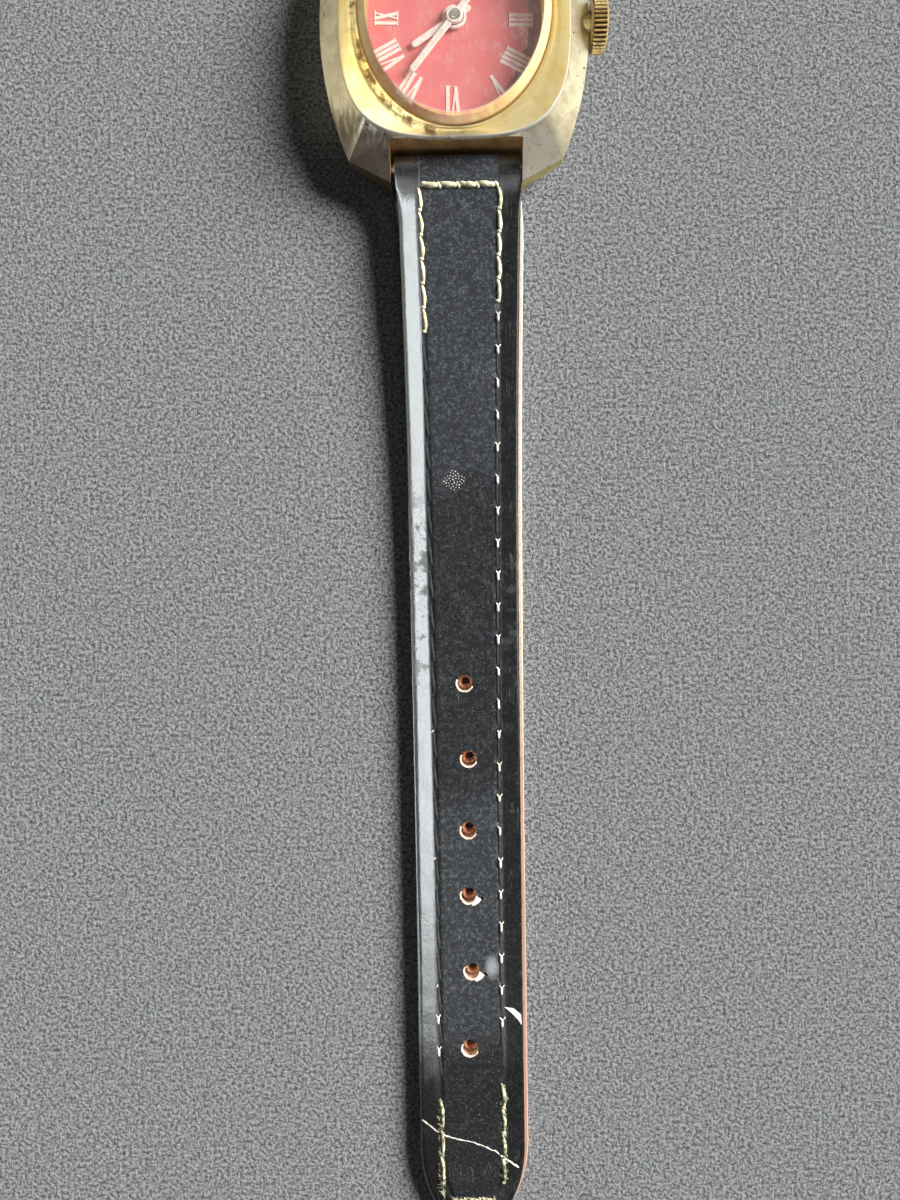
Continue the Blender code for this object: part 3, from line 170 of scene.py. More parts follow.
# ---- material graphs
class Value:
    """What a shader node gives; arithmetic on it adds math nodes."""

    def __init__(self, graph, socket):
        self.graph = graph
        self.socket = socket

    def __add__(self, other):
        return self.graph.math("ADD", self, other)

    def __sub__(self, other):
        return self.graph.math("SUBTRACT", self, other)

    def __rsub__(self, other):
        return self.graph.math("SUBTRACT", other, self)

    def __mul__(self, other):
        return self.graph.math("MULTIPLY", self, other)

    def __truediv__(self, other):
        return self.graph.math("DIVIDE", self, other)

    def __pow__(self, other):
        return self.graph.math("POWER", self, other)

    def __abs__(self):
        return self.graph.math("ABSOLUTE", self)

    __radd__ = __add__
    __rmul__ = __mul__


class Graph:
    """Small builder for one Principled material."""

    def __init__(self, name, **constants):
        self.material = bpy.data.materials.new(name)
        self.material.use_nodes = True
        self.tree = self.material.node_tree
        self.shader = self.tree.nodes["Principled BSDF"]
        self.place = self.node("TexCoord", "Object")
        for key, value in constants.items():
            self.shader.inputs[key.replace("_", " ")].default_value = value

    def put(self, socket, value):
        """Link a socket to a node's value, or set it."""
        if isinstance(value, Value):
            self.tree.links.new(value.socket, socket)
        elif socket.type == "RGBA":
            socket.default_value = (*value, 1.0)
        else:
            socket.default_value = value

    def node(self, kind, result, inputs=(), **settings):
        """Add a node, set it up, and give one of its outputs."""
        node = self.tree.nodes.new(f"ShaderNode{kind}")
        for key, value in settings.items():
            setattr(node, key, value)
        for key, value in inputs:
            self.put(node.inputs[key], value)
        return Value(self, node.outputs[result])

    def math(self, operation, first, second=0.0, clamp=False):
        return self.node("Math", 0, ((0, first), (1, second)), operation=operation, use_clamp=clamp)

    def axes(self):
        """X, Y and Z of the surface point, in millimetres."""
        return [self.node("SeparateXYZ", i, ((0, self.place),)) * (1 / MM) for i in range(3)]

    def noise(self, size, detail=4.0, rough=0.55, stretch=None, turn=0.0):
        """Noise from 0 to 1 whose features are about this size, in millimetres."""
        place = self.place
        if stretch:
            inputs = (("Vector", place), ("Scale", stretch), ("Rotation", (0.0, 0.0, turn)))
            place = self.node("Mapping", 0, inputs)
        inputs = (("Scale", 1 / (size * MM)), ("Detail", detail), ("Roughness", rough), ("Vector", place))
        return self.node("TexNoise", "Fac", inputs)

    def cells(self, size):
        """Distance to the centres of cells of this size, in millimetres."""
        return self.node("TexVoronoi", "Distance", (("Scale", 1 / (size * MM)), ("Vector", self.place)))

    def ramp(self, value, low, high, out_low=0.0, out_high=1.0):
        """Smooth step of a value between two levels."""
        inputs = [("Value", value), ("From Min", low), ("From Max", high)]
        inputs += [("To Min", out_low), ("To Max", out_high)]
        return self.node("MapRange", "Result", inputs, interpolation_type="SMOOTHSTEP")

    def mix(self, factor, first, second):
        return self.node("Mix", 2, (("Factor", factor), (6, first), (7, second)), data_type="RGBA")

    def bump(self, height, depth):
        """Bump whose height of 1 is this deep, in millimetres."""
        return self.node("Bump", "Normal", (("Strength", 1.0), ("Distance", depth * MM), ("Height", height)))

    def scratches(self, turns, size=1.2, width=0.012):
        """Fine lines in a few directions, 1 on a line."""
        lines = 0.0
        for i, turn in enumerate(turns):
            streak = self.noise(size * (1 + 0.2 * i), 2.0, 0.5, (9.0, 0.35, 1.0), turn)
            lines = self.math("MAXIMUM", lines, self.ramp(abs(streak - 0.5), 0.0, width, 1.0, 0.0))
        return lines * self.ramp(self.noise(2.1, 2.0), 0.5, 0.62)

    def oval_radius(self, half_x, half_y):
        """1 on an ellipse round the dial's centre."""
        x, y, _ = self.axes()
        return self.math("SQRT", abs(x / half_x) ** 2.0 + abs(y / half_y) ** 2.0)

    def finish(self, colour, roughness, normal=None, alpha=None, metallic=None, specular=None):
        for key, value in (
            ("Base Color", colour),
            ("Roughness", roughness),
            ("Normal", normal),
            ("Alpha", alpha),
            ("Metallic", metallic),
            ("Specular IOR Level", specular),
        ):
            if value is not None:
                self.put(self.shader.inputs[key], value)
        return self.material


def worn_metal(name, light, dark, metallic=0.85, roughness=0.3, pits=0.3, grain=0.5, painted_shade=None):
    """Metal with stains, small pits and rubbed patches; painted shade darkens it towards the lower left of the
    case.
    """
    g = Graph(name, Metallic=metallic)
    shine = specular = None
    stain = g.ramp(g.noise(2.6, 5.0, 0.6), 0.42, 0.7)
    speck = g.ramp(g.noise(0.22, 3.0, 0.6), 0.58, 0.72)
    pit = g.ramp(g.noise(0.42, 2.0, 0.5), 0.66, 0.74)
    colour = g.mix(stain * 0.55, light, dark)
    colour = g.mix(speck * grain, colour, dark)
    colour = g.mix(pit * pits, colour, (0.07, 0.05, 0.03))
    if painted_shade:
        # painted shade: towards the lower left, away from the key light, the colour is mixed towards the given
        # shade colour, and metal and gloss drop there
        x, y, _ = g.axes()
        reach = x * 0.3 + y
        streak = g.noise(0.9, 4.0, 0.7, (2.2, 0.5, 1.0), 0.7) * 9.0
        left = g.ramp(reach + streak, -6.0, -11.5) * g.ramp(x, 0.0, -4.0)
        colour = g.mix(left * 0.92, colour, painted_shade)
        shine = g.ramp(left, 0.0, 1.0, metallic, 0.3)
        specular = g.ramp(left, 0.0, 1.0, 0.5, 0.1)
    rough = g.noise(0.9, 4.0) * 0.3 + (roughness - 0.12)
    rough = g.math("ADD", rough, pit * 0.3, clamp=True)
    lines = g.scratches((0.3, 1.25, 2.1))
    height = pit * -1.0 + g.noise(0.3, 3.0) * 0.3 - lines * 0.25
    return g.finish(colour, rough, g.bump(height, 0.02), metallic=shine, specular=specular)


def bezel_gold():
    """Gold plate, dirty and pitted in the groove round the crystal, with a painted highlight along its outer edge
    and painted light towards its bottom.
    """
    g = Graph("bezel_gold", Metallic=0.72)
    ring = g.oval_radius(*CRYSTAL)
    x, y, _ = g.axes()
    patch = g.noise(1.3, 5.0, 0.65)
    groove = g.ramp(ring, 1.0, 1.035) * g.ramp(ring, 1.06, 1.12, 1.0, 0.0)
    low_left = g.ramp(x + y * 0.5, -9.0, -3.0, 1.0, 0.0)
    dirt = groove * low_left * g.ramp(patch, 0.45, 0.62)
    fleck = groove * g.ramp(g.noise(0.3, 3.0, 0.6), 0.62, 0.7)
    dirt = g.math("MAXIMUM", dirt, fleck * (low_left * 0.7 + 0.1))
    colour = g.mix(g.ramp(g.noise(3.4, 3.0), 0.35, 0.65), (0.95, 0.68, 0.22), (1.0, 0.82, 0.4))
    # painted light: the bottom of the bezel is mixed towards a paler gold
    colour = g.mix(g.ramp(y, -9.0, -12.0, 0.0, 0.5), colour, (0.93, 0.78, 0.45))
    # painted highlight: the mask below is a thin near-white line along the outer edge, strongest towards the lower
    # right
    rim = abs(x / CUSHION[0]) ** CUSHION_POWER + abs(y / CUSHION[1]) ** CUSHION_POWER
    worn = g.ramp(rim, 0.95, 0.98) * g.ramp(x - y, -6.0, 2.0, 0.3, 0.95)
    colour = g.mix(worn, colour, (0.96, 0.94, 0.88))
    colour = g.mix(g.ramp(g.noise(0.6, 4.0, 0.7), 0.62, 0.75) * 0.5, colour, (0.42, 0.26, 0.08))
    colour = g.mix(dirt * 0.85, colour, (0.26, 0.15, 0.05))
    rough = g.noise(0.8, 4.0) * 0.28 + 0.33
    rough = g.math("ADD", rough, dirt * 0.35, clamp=True)
    height = g.noise(0.5, 5.0, 0.7) * 0.5 - dirt
    return g.finish(colour, rough, g.bump(height, 0.04))


def crown_gold():
    """Gold-plated flutes, nearly black in the grooves."""
    g = Graph("crown_plate_worn", Metallic=0.6)
    x, y, z = g.axes()
    up = z - STEM_Z
    radius = g.math("SQRT", y * y + up * up)
    rim = (CROWN_HIGH.z - STEM_Z) * CROWN_SWELL
    groove = g.ramp(radius, rim - 0.26, rim - 0.07, 1.0, 0.0)
    side = g.ramp(x, CROWN_LOW.x + 0.05, CROWN_LOW.x + 0.2)
    side = side * g.ramp(x, CROWN_HIGH.x - 0.3, CROWN_HIGH.x - 0.15, 1.0, 0.0)
    groove = groove * (0.2 + side * 0.78)
    colour = g.mix(g.ramp(g.noise(0.5, 4.0), 0.35, 0.7), (0.95, 0.72, 0.34), (0.62, 0.42, 0.16))
    colour = g.mix(groove, colour, (0.05, 0.03, 0.012))
    rough = 0.3 + g.noise(0.3, 3.0) * 0.25
    return g.finish(colour, rough, g.bump(g.noise(0.2, 3.0), 0.015))


def lining_leather():
    """Tan lining, cream where its edge shows near the case and browner towards the tip; painted shade darkens its
    left edge.
    """
    g = Graph("lining_leather_tan", Sheen_Weight=0.15)
    x, y, _ = g.axes()
    fibre = g.noise(0.25, 5.0, 0.7)
    along = g.ramp(y + g.noise(4.0, 3.0) * 30.0, -30.0, -85.0)
    colour = g.mix(along, (0.8, 0.7, 0.56), (0.5, 0.3, 0.22))
    colour = g.mix(g.ramp(fibre, 0.45, 0.7) * 0.6, colour, (0.34, 0.2, 0.12))
    # painted shade: the left edge, on the side away from the light, is mixed towards dark brown
    colour = g.mix(g.ramp(x, -4.0, -5.5) * 0.8, colour, (0.2, 0.08, 0.04))
    return g.finish(colour, 0.5 + fibre * 0.3, g.bump(fibre, 0.05))


def crystal_glass():
    """Clear acrylic: see-through on top, nearly opaque at its bevelled edge, which carries a painted reflection of
    the gold bezel.
    """
    g = Graph("crystal_acrylic", Specular_IOR_Level=0.6, IOR=1.49)
    ring = g.oval_radius(*CRYSTAL)
    x, y, _ = g.axes()
    bevel = g.ramp(ring, 0.905, 0.93)
    # painted reflection of the gold bezel on the bevel: yellow, more orange-brown towards the lower left, dark
    # brown at the outer rim
    lower = g.ramp(y + x * 0.35, -4.0, -10.5)
    painted_reflection = g.mix(lower, (0.96, 0.86, 0.42), (0.82, 0.44, 0.2))
    painted_reflection = g.mix(g.ramp(g.noise(1.1, 4.0, 0.6), 0.4, 0.7), painted_reflection, (0.9, 0.7, 0.3))
    painted_reflection = g.mix(g.ramp(ring, 0.985, 1.0), painted_reflection, (0.42, 0.26, 0.1))
    lines = g.scratches((0.5, 1.4, 2.4, 2.9), 1.6, 0.006)
    colour = g.mix(bevel, (0.95, 0.93, 0.9), painted_reflection)
    facing = g.node("LayerWeight", "Fresnel", (("Blend", 0.35),))
    clear = 0.02 + facing * 0.22 + lines * 0.3
    alpha = g.math("MAXIMUM", clear, bevel * 0.82)
    rough = 0.04 + bevel * 0.22
    return g.finish(colour, rough, None, alpha)


def dial_red():
    """Satin salmon-red dial with dust, hair scratches and dark corrosion along its right edge."""
    g = Graph("dial_satin_red", Metallic=0.15)
    x, _, _ = g.axes()
    ring = g.oval_radius(*OPENING)
    rot = g.ramp(ring, 0.76, 0.92, 0.0, 0.42) + g.noise(0.3, 5.0, 0.8) * 0.6
    rot = g.ramp(rot, 0.5, 0.62) * g.ramp(x, 4.6, 6.4) * g.ramp(ring, 0.78, 0.86)
    colour = g.mix(g.noise(4.0, 3.0), (0.82, 0.19, 0.19), (0.92, 0.26, 0.255))
    colour = g.mix(g.ramp(g.noise(0.12, 2.0), 0.6, 0.75) * 0.35, colour, (0.9, 0.5, 0.46))
    colour = g.mix(g.scratches((0.2, 1.0, 1.9, 2.6), 2.2, 0.005) * 0.4, colour, (0.95, 0.66, 0.6))
    colour = g.mix(rot * 0.9, colour, (0.16, 0.05, 0.05))
    height = g.noise(0.1, 2.0) * 0.5
    return g.finish(colour, 0.32 + rot * 0.4, g.bump(height, 0.006))


def plain_paint(name, colour, shade, roughness=0.45, metallic=0.0, size=0.4):
    """Even coat with a light mottle."""
    g = Graph(name, Metallic=metallic)
    tone = g.mix(g.ramp(g.noise(size, 4.0), 0.3, 0.7), shade, colour)
    rough = g.noise(size * 0.5, 3.0) * 0.2 + (roughness - 0.1)
    return g.finish(tone, rough, g.bump(g.noise(size * 0.4, 3.0), 0.008))


def black_leather(name="strap_leather_black", margins=True):
    """Black leather: painted grey sheen and speckled glints on the raised panel, rubbed smooth and shiny margins.
    """
    g = Graph(name, IOR=1.8)
    x, y, _ = g.axes()
    across = abs(x - STRAP_SHIFT)
    seam = 4.2 + g.ramp(y, -20.0, -130.0) * -0.75
    margin = g.ramp(across - seam, -0.2, 0.15) if margins else 0.0
    fine = g.noise(0.2, 4.0, 0.7)
    # painted sheen: grey that stands in for reflected light comes and goes along the strap and stays off the
    # margins
    spot = y + g.noise(7.0, 3.0) * 12.0
    painted_sheen = g.ramp(spot, -36.0, -46.0, 0.85, 0.3) + g.ramp(spot, -72.0, -80.0, 0.0, 0.6)
    painted_sheen = g.math("ADD", painted_sheen, g.ramp(spot, -98.0, -105.0, 0.0, -0.75), clamp=True)
    painted_sheen = painted_sheen * (1.0 - margin)
    colour = g.mix(painted_sheen, (0.007, 0.0075, 0.0075), (0.034, 0.037, 0.042))
    # painted highlights: grey speckle that grows with the painted sheen, and pale glints kept mostly off the
    # margins
    speck = g.ramp(g.noise(0.45, 4.0, 0.8), 0.47, 0.66) * (0.12 + painted_sheen * 0.75)
    colour = g.mix(speck * 0.5, colour, (0.2, 0.22, 0.25))
    glint = g.ramp(g.noise(0.2, 2.0, 0.7), 0.62, 0.72) * (1.0 - margin * 0.8)
    colour = g.mix(glint * 0.3, colour, (0.5, 0.52, 0.56))
    rubs = g.scratches((0.15, 0.7, 1.3, 2.7), 3.4, 0.003) * 0.3
    colour = g.mix(rubs, colour, (0.42, 0.41, 0.39))
    # painted highlight: a grey-white patch on the raised leather right of the fifth hole
    bulge_highlight = g.math("SQRT", abs(x - 2.6) ** 2.0 + abs((y + 100.6) * 0.6) ** 2.0)
    if margins:
        colour = g.mix(g.ramp(bulge_highlight, 0.2, 1.0, 0.55, 0.0), colour, (0.5, 0.53, 0.55))
    creased = g.ramp(spot, -40.0, -50.0) * g.ramp(spot, -58.0, -66.0, 1.0, 0.0)
    creased = creased * g.ramp(g.noise(1.4, 4.0, 0.65), 0.5, 0.64)
    rough = 0.46 + fine * 0.16 - margin * 0.3
    rough = g.math("ADD", rough, creased * 0.3, clamp=True)
    height = (g.cells(0.3) * 0.5 + fine) * (1.0 - margin * 0.8)
    specular = 0.06 + margin * 0.8 * g.ramp(spot, -102.0, -108.0, 1.0, 0.06)
    return g.finish(colour, rough, g.bump(height, 0.06), specular=specular)


def raw_leather(name, light, dark):
    """Undyed, rubbed leather: fibres and stains."""
    g = Graph(name, Sheen_Weight=0.15)
    fibre = g.noise(0.2, 5.0, 0.7)
    stain = g.ramp(g.noise(2.2, 4.0), 0.4, 0.65)
    colour = g.mix(stain, light, dark)
    colour = g.mix(g.ramp(fibre, 0.45, 0.75), colour, light)
    return g.finish(colour, 0.55 + fibre * 0.3, g.bump(fibre, 0.05))


def twisted_thread(name, light, dark):
    """Cotton thread: a twist along it and uneven dirt."""
    g = Graph(name, Sheen_Weight=0.2)
    twist = g.noise(0.14, 3.0, 0.6, (1.0, 0.45, 1.0), 0.6)
    colour = g.mix(g.ramp(g.noise(0.5, 4.0), 0.35, 0.65), dark, light)
    return g.finish(colour, 0.6 + twist * 0.25, g.bump(twist, 0.06))


def floor_cloth():
    """Plain grey table cover with a fine felt grain."""
    g = Graph("floor_felt", Specular_IOR_Level=0.03)
    fibre = g.noise(0.36, 3.0, 0.75)
    colour = g.mix(g.ramp(fibre, 0.34, 0.66), (0.07, 0.075, 0.082), (0.395, 0.41, 0.425))
    colour = g.mix(g.noise(9.0, 2.0) * 0.2, colour, (0.22, 0.225, 0.23))
    return g.finish(colour, 0.85, g.bump(fibre, 0.3))


def make_materials():
    gold = ((0.86, 0.62, 0.27), (0.45, 0.28, 0.1))
    flank = ((0.8, 0.73, 0.5), (0.46, 0.36, 0.2))
    lug = ((0.42, 0.38, 0.31), (0.2, 0.16, 0.12))
    lug_end = ((0.75, 0.62, 0.25), (0.25, 0.19, 0.07))
    blue = ((0.06, 0.09, 0.26), (0.03, 0.04, 0.12))
    return {
        "bezel": bezel_gold(),
        "crystal": crystal_glass(),
        "dial": dial_red(),
        "gold": worn_metal("gold_plate_worn", *gold, 0.85, 0.3, 0.5),
        "crown": crown_gold(),
        # the last colour given for flank, lug and lug end is their painted shade at the lower left
        "flank": worn_metal("case_flank_worn", *flank, 0.75, 0.36, 0.75, 0.6, (0.2, 0.16, 0.11)),
        "lug": worn_metal("lug_facet_dull", *lug, 0.5, 0.42, 0.8, 0.7, (0.045, 0.03, 0.02)),
        "lug_end": worn_metal("lug_end_dull", *lug_end, 0.4, 0.42, 0.8, 0.7, (0.14, 0.1, 0.07)),
        "wall": worn_metal("case_wall_brown", (0.75, 0.45, 0.18), (0.22, 0.1, 0.04), 0.15, 0.5, 0.8, 0.8),
        "steel": worn_metal("steel_satin", (0.62, 0.61, 0.58), (0.36, 0.35, 0.33), 0.95, 0.32, 0.3, 0.2),
        "brass": worn_metal("brass_satin", (0.8, 0.62, 0.32), (0.55, 0.4, 0.18), 0.95, 0.34, 0.2, 0.2),
        "blued_steel": worn_metal("steel_blued", *blue, 0.95, 0.28, 0.1, 0.1),
        "rubber": plain_paint("gasket_rubber", (0.035, 0.035, 0.035), (0.02, 0.02, 0.02), 0.8),
        "hand": plain_paint("hand_plate_cream", (1.0, 0.95, 0.86), (0.86, 0.78, 0.68), 0.32, 0.1, 0.5),
        "numeral": plain_paint("numeral_cream", (1.0, 0.92, 0.86), (0.9, 0.72, 0.66), 0.4, 0.0, 0.3),
        "pin": plain_paint("hand_pin_grey", (0.46, 0.53, 0.42), (0.3, 0.36, 0.28), 0.35, 0.6, 0.3),
        "leather": black_leather(),
        "keeper": black_leather("keeper_leather_black", False),
        "edge": raw_leather("leather_edge_tan", (0.66, 0.55, 0.42), (0.36, 0.2, 0.12)),
        "lining": lining_leather(),
        "hole": raw_leather("hole_leather_rust", (1.0, 0.6, 0.4), (0.5, 0.16, 0.07)),
        "hole_rim": raw_leather("hole_rim_cream", (0.95, 0.84, 0.7), (0.8, 0.55, 0.4)),
        # cream of torn leather, also used for the painted glints at the needle holes and the nick
        "torn": raw_leather("cream_leather_tears_and_glints", (0.92, 0.9, 0.84), (0.7, 0.62, 0.5)),
        "pale_thread": twisted_thread("thread_pale", (0.92, 0.9, 0.7), (0.55, 0.5, 0.28)),
        "old_thread": twisted_thread("thread_olive", (0.78, 0.74, 0.5), (0.09, 0.085, 0.04)),
        "dark_thread": twisted_thread("thread_dark", (0.05, 0.05, 0.052), (0.02, 0.02, 0.02)),
    }


# ---- outlines and solids
CENTRE = (0.0, 0.0)


def polar(origin, distance, degrees):
    """Point at a distance and direction from another."""
    angle = math.radians(degrees)
    return (origin[0] + distance * math.cos(angle), origin[1] + distance * math.sin(angle))


def circle(radius, steps, centre=CENTRE):
    return [polar(centre, radius, 360.0 * i / steps) for i in range(steps)]


def arc(centre, radius, first, last, steps):
    return [polar(centre, radius, first + (last - first) * i / steps) for i in range(steps + 1)]


def oval(half_x, half_y, steps=160, power=2.0):
    """Ellipse, or a squarer superellipse when power is above 2."""
    points = []
    for i in range(steps):
        c = math.cos(2 * math.pi * i / steps)
        s = math.sin(2 * math.pi * i / steps)
        x = half_x * math.copysign(abs(c) ** (2 / power), c)
        y = half_y * math.copysign(abs(s) ** (2 / power), s)
        points.append((x, y))
    return points


def blended(first, second, amount):
    """Outline between two outlines with the same count."""
    return [(a[0] + (b[0] - a[0]) * amount, a[1] + (b[1] - a[1]) * amount) for a, b in zip(first, second)]


def at_height(outline, z):
    return [(x, y, z) for x, y in outline]


def wall(bm, low, high):
    for i, vertex in enumerate(low):
        j = (i + 1) % len(low)
        bm.faces.new((vertex, low[j], high[j], high[i]))


def lofted(rings, closed=False, bm=None):
    """Solid through rings of points with equal counts, capped at both ends or closed into a band."""
    bm = bm or bmesh.new()
    loops = [[bm.verts.new(point) for point in ring] for ring in rings]
    for low, high in zip(loops, loops[1:]):
        wall(bm, low, high)
    if closed:
        wall(bm, loops[-1], loops[0])
    else:
        bm.faces.new(loops[0])
        bm.faces.new(loops[-1])
    return bm


def stacked(levels, closed=False, bm=None):
    """Solid through (outline, height) levels."""
    return lofted([at_height(outline, z) for outline, z in levels], closed, bm)


def turned(profile, steps, closed=False):
    """Solid of revolution about Z through (radius, height) points."""
    return stacked([(circle(radius, steps), z) for radius, z in profile], closed)


def slab(outline, low, high, bm=None):
    """Flat solid between two heights."""
    return stacked(((outline, low), (outline, high)), bm=bm)


def box(low, high):
    corners = [(low[0], low[1]), (high[0], low[1]), (high[0], high[1]), (low[0], high[1])]
    return slab(corners, low[2], high[2])


ALONG_X = Matrix(((0, 0, 1, 0), (1, 0, 0, 0), (0, 1, 0, 0), (0, 0, 0, 1)))


def rod_x(radius, low, high, y, z, steps=32):
    """Round bar along X."""
    bm = slab(circle(radius, steps, (y, z)), low, high)
    bm.transform(ALONG_X)
    return bm


def tube(bm, points, radii, sides=6):
    """Round wire through points, with a radius at each."""
    rings = []
    for i, point in enumerate(points):
        before = Vector(points[max(i - 1, 0)])
        after = Vector(points[min(i + 1, len(points) - 1)])
        forward = (after - before).normalized()
        side = forward.cross(Vector((0.0, 0.0, 1.0)))
        if side.length < 0.1:
            side = forward.cross(Vector((0.0, 1.0, 0.0)))
        side.normalize()
        up = side.cross(forward)
        turns = [2 * math.pi * k / sides for k in range(sides)]
        rings.append([Vector(point) + radii[i] * (math.cos(t) * side + math.sin(t) * up) for t in turns])
    lofted(rings, bm=bm)


def wander(a, b=0.0, c=0.0):
    """Smooth repeatable wobble between -1 and 1."""
    return noise.noise(Vector((a, b, c)))


def make_object(name, bm, materials):
    """Mesh object in metres at the origin."""
    bmesh.ops.recalc_face_normals(bm, faces=bm.faces[:])
    bm.transform(Matrix.Scale(MM, 4))
    mesh = bpy.data.meshes.new(name)
    bm.to_mesh(mesh)
    bm.free()
    for material in materials:
        mesh.materials.append(material)
    return add_object(name, mesh)


def cut(obj, cutters):
    """Take shapes out of a piece, and keep the result as its mesh."""
    tools = []
    for i, (bm, slot) in enumerate(cutters):
        for face in bm.faces:
            face.material_index = slot
        tool = make_object(f"{obj.name}_tool_{i}", bm, list(obj.data.materials))
        modifier = obj.modifiers.new(f"cut_{i}", "BOOLEAN")
        modifier.operation = "DIFFERENCE"
        modifier.object = tool
        tools.append(tool)
    shape = obj.evaluated_get(bpy.context.evaluated_depsgraph_get())
    mesh = bpy.data.meshes.new_from_object(shape)
    obj.modifiers.clear()
    obj.data = mesh
    for tool in tools:
        bpy.data.objects.remove(tool, do_unlink=True)


def dress(obj, body, nodes=(), smooth=32.0):
    """Put a piece on its body, in place of CAD nodes."""
    obj.data.shade_smooth()
    obj.data.set_sharp_from_angle(angle=math.radians(smooth))
    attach(obj, body)
    if nodes:
        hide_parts(*nodes)


def add_piece(name, bm, material, body, nodes=(), smooth=32.0):
    """Finished piece of one material."""
    dress(make_object(name, bm, [material]), body, nodes, smooth)


def soften(obj, width, segments=2, angle=30.0):
    """Small round on the sharp edges of a piece."""
    modifier = obj.modifiers.new("soft_edges", "BEVEL")
    modifier.width = width * MM
    modifier.segments = segments
    modifier.limit_method = "ANGLE"
    modifier.angle_limit = math.radians(angle)


# ---- case
FLANK_STEPS = 14
FLANK_RADIUS = 36.3
LUG_CORNER_Y = 14.1
LUG_OVERRUN = 0.2
LUG_GAP_HALF = 7.0
LUG_INNER_X = LUG_GAP_HALF - 0.4
CASE_WALL_Y = 12.7
LUG_HOLE = 0.46
STEM_HOLE = 0.75
TUBE_HOLE = 1.14
MOVEMENT_BORE = 10.4
BACK_BORE = 10.9
DIAL_WINDOW = (10.5, 11.85)
TOP_TURN = 49.0


def mirrored_outline(quarter):
    upper = quarter + [(-x, y, z) for x, y, z in reversed(quarter[:-1])]
    lower = [(x, -y, z) for x, y, z in reversed(upper[1:-1])]
    return upper + lower


def flank_level(inset, flank_z, end_z):
    """Quarter outline of the case at one level: curved flank, then the slanted end of the lug."""
    quarter = []
    for step in range(FLANK_STEPS + 1):
        along = step / FLANK_STEPS
        y = LUG_CORNER_Y * along
        x = CASE_HIGH.x - FLANK_RADIUS + math.sqrt(FLANK_RADIUS**2 - y**2) - inset
        quarter.append((x, y, flank_z + (end_z - flank_z) * along**2))
    tip = CASE_HIGH.y + LUG_OVERRUN
    return quarter + [(LUG_INNER_X, tip, end_z), (0.0, tip, end_z)]


def top_level():
    """Quarter outline of the case's top edge, just outside the bezel."""
    quarter = []
    for step in range(FLANK_STEPS + 1):
        turn = math.radians(TOP_TURN) * step / FLANK_STEPS
        x = 12.2 * math.cos(turn) ** (2 / CUSHION_POWER)
        y = 12.8 * math.sin(turn) ** (2 / CUSHION_POWER)
        quarter.append((x, y))
    quarter += [(LUG_INNER_X, CASE_WALL_Y - 0.15), (0.0, CASE_WALL_Y + 0.15)]
    return at_height(quarter, CASE_HIGH.z)


def make_case(mats):
    """Middle of the case: flank facets, dull lug facets, brown walls between the lugs."""
    levels = [
        flank_level(1.0, CASE_LOW.z, CASE_LOW.z),
        flank_level(0.15, 2.4, 2.4),
        flank_level(0.0, 4.4, 4.0),
        top_level(),
    ]
    bm = lofted([mirrored_outline(level) for level in levels])
    case = make_object("case_middle", bm, [mats[look] for look in ("flank", "lug", "lug_end", "wall")])
    recess, bore, window = circle(BACK_BORE, 72), circle(MOVEMENT_BORE, 72), oval(*DIAL_WINDOW, 72)
    inside = ((recess, 0.8), (recess, 1.6), (bore, 1.6001), (bore, 5.0), (window, 5.0001), (window, 6.6))
    cutters = [(stacked(inside), 0)]
    for side in (-1, 1):
        near, far = sorted((side * CASE_WALL_Y, side * 20.0))
        cutters.append((box((-LUG_GAP_HALF, near, 0.5), (LUG_GAP_HALF, far, 7.0)), 3))
        cutters.append((rod_x(LUG_HOLE, -8.2, 8.2, side * BAR_Y, BAR_Z, 20), 0))
    cutters.append((rod_x(STEM_HOLE, 9.5, 12.0, 0.0, STEM_Z, 24), 0))
    cutters.append((rod_x(TUBE_HOLE, 11.6, 15.0, 0.0, STEM_Z, 24), 0))
    cut(case, cutters)
    for face in case.data.polygons:
        n = face.normal
        place = face.center / MM
        if abs(place.y) > 10.5 and face.material_index == 0 and abs(place.x) > LUG_GAP_HALF:
            if n.z > 0.3 and abs(n.y) > 0.34:
                face.material_index = 1
            elif abs(n.y) > 0.6 and abs(n.z) < 0.3 and abs(place.y) > 13.5:
                face.material_index = 2
    soften(case, 0.07)
    dress(case, "case", ["mid_case"])


def make_bezel(mats):
    """Cushion bezel: low side, rubbed round shoulder, sloping band, groove and lip round the crystal."""
    outer = oval(*CUSHION, 180, CUSHION_POWER)
    lip = oval(CRYSTAL[0] + 0.16, CRYSTAL[1] + 0.1, 180)
    seat = oval(CRYSTAL[0] + 0.05, CRYSTAL[1] + 0.03, 180)
    opening = oval(*OPENING, 180)
    neck = oval(10.0, 11.65, 180)
    low, base = BEZEL_LOW.z, CASE_HIGH.z + 0.05
    profile = ((0.02, 6.72), (0.06, 6.8), (0.12, 6.87), (0.3, 7.02), (0.5, 7.2), (0.66, 7.34), (0.72, 7.36))
    profile += ((0.76, 7.31), (0.8, 7.33), (0.86, 7.45), (0.93, 7.54), (1.0, 7.58))
    levels = [(outer, base), (outer, 6.6)] + [(blended(outer, lip, amount), z) for amount, z in profile]
    levels += [(seat, 7.5), (seat, CRYSTAL_LOW.z - 0.02), (opening, CRYSTAL_LOW.z - 0.05)]
    levels += [(opening, low), (neck, low), (neck, base)]
    add_piece("bezel_cushion", stacked(levels, True), mats["bezel"], "case", ["bezel"], 40.0)


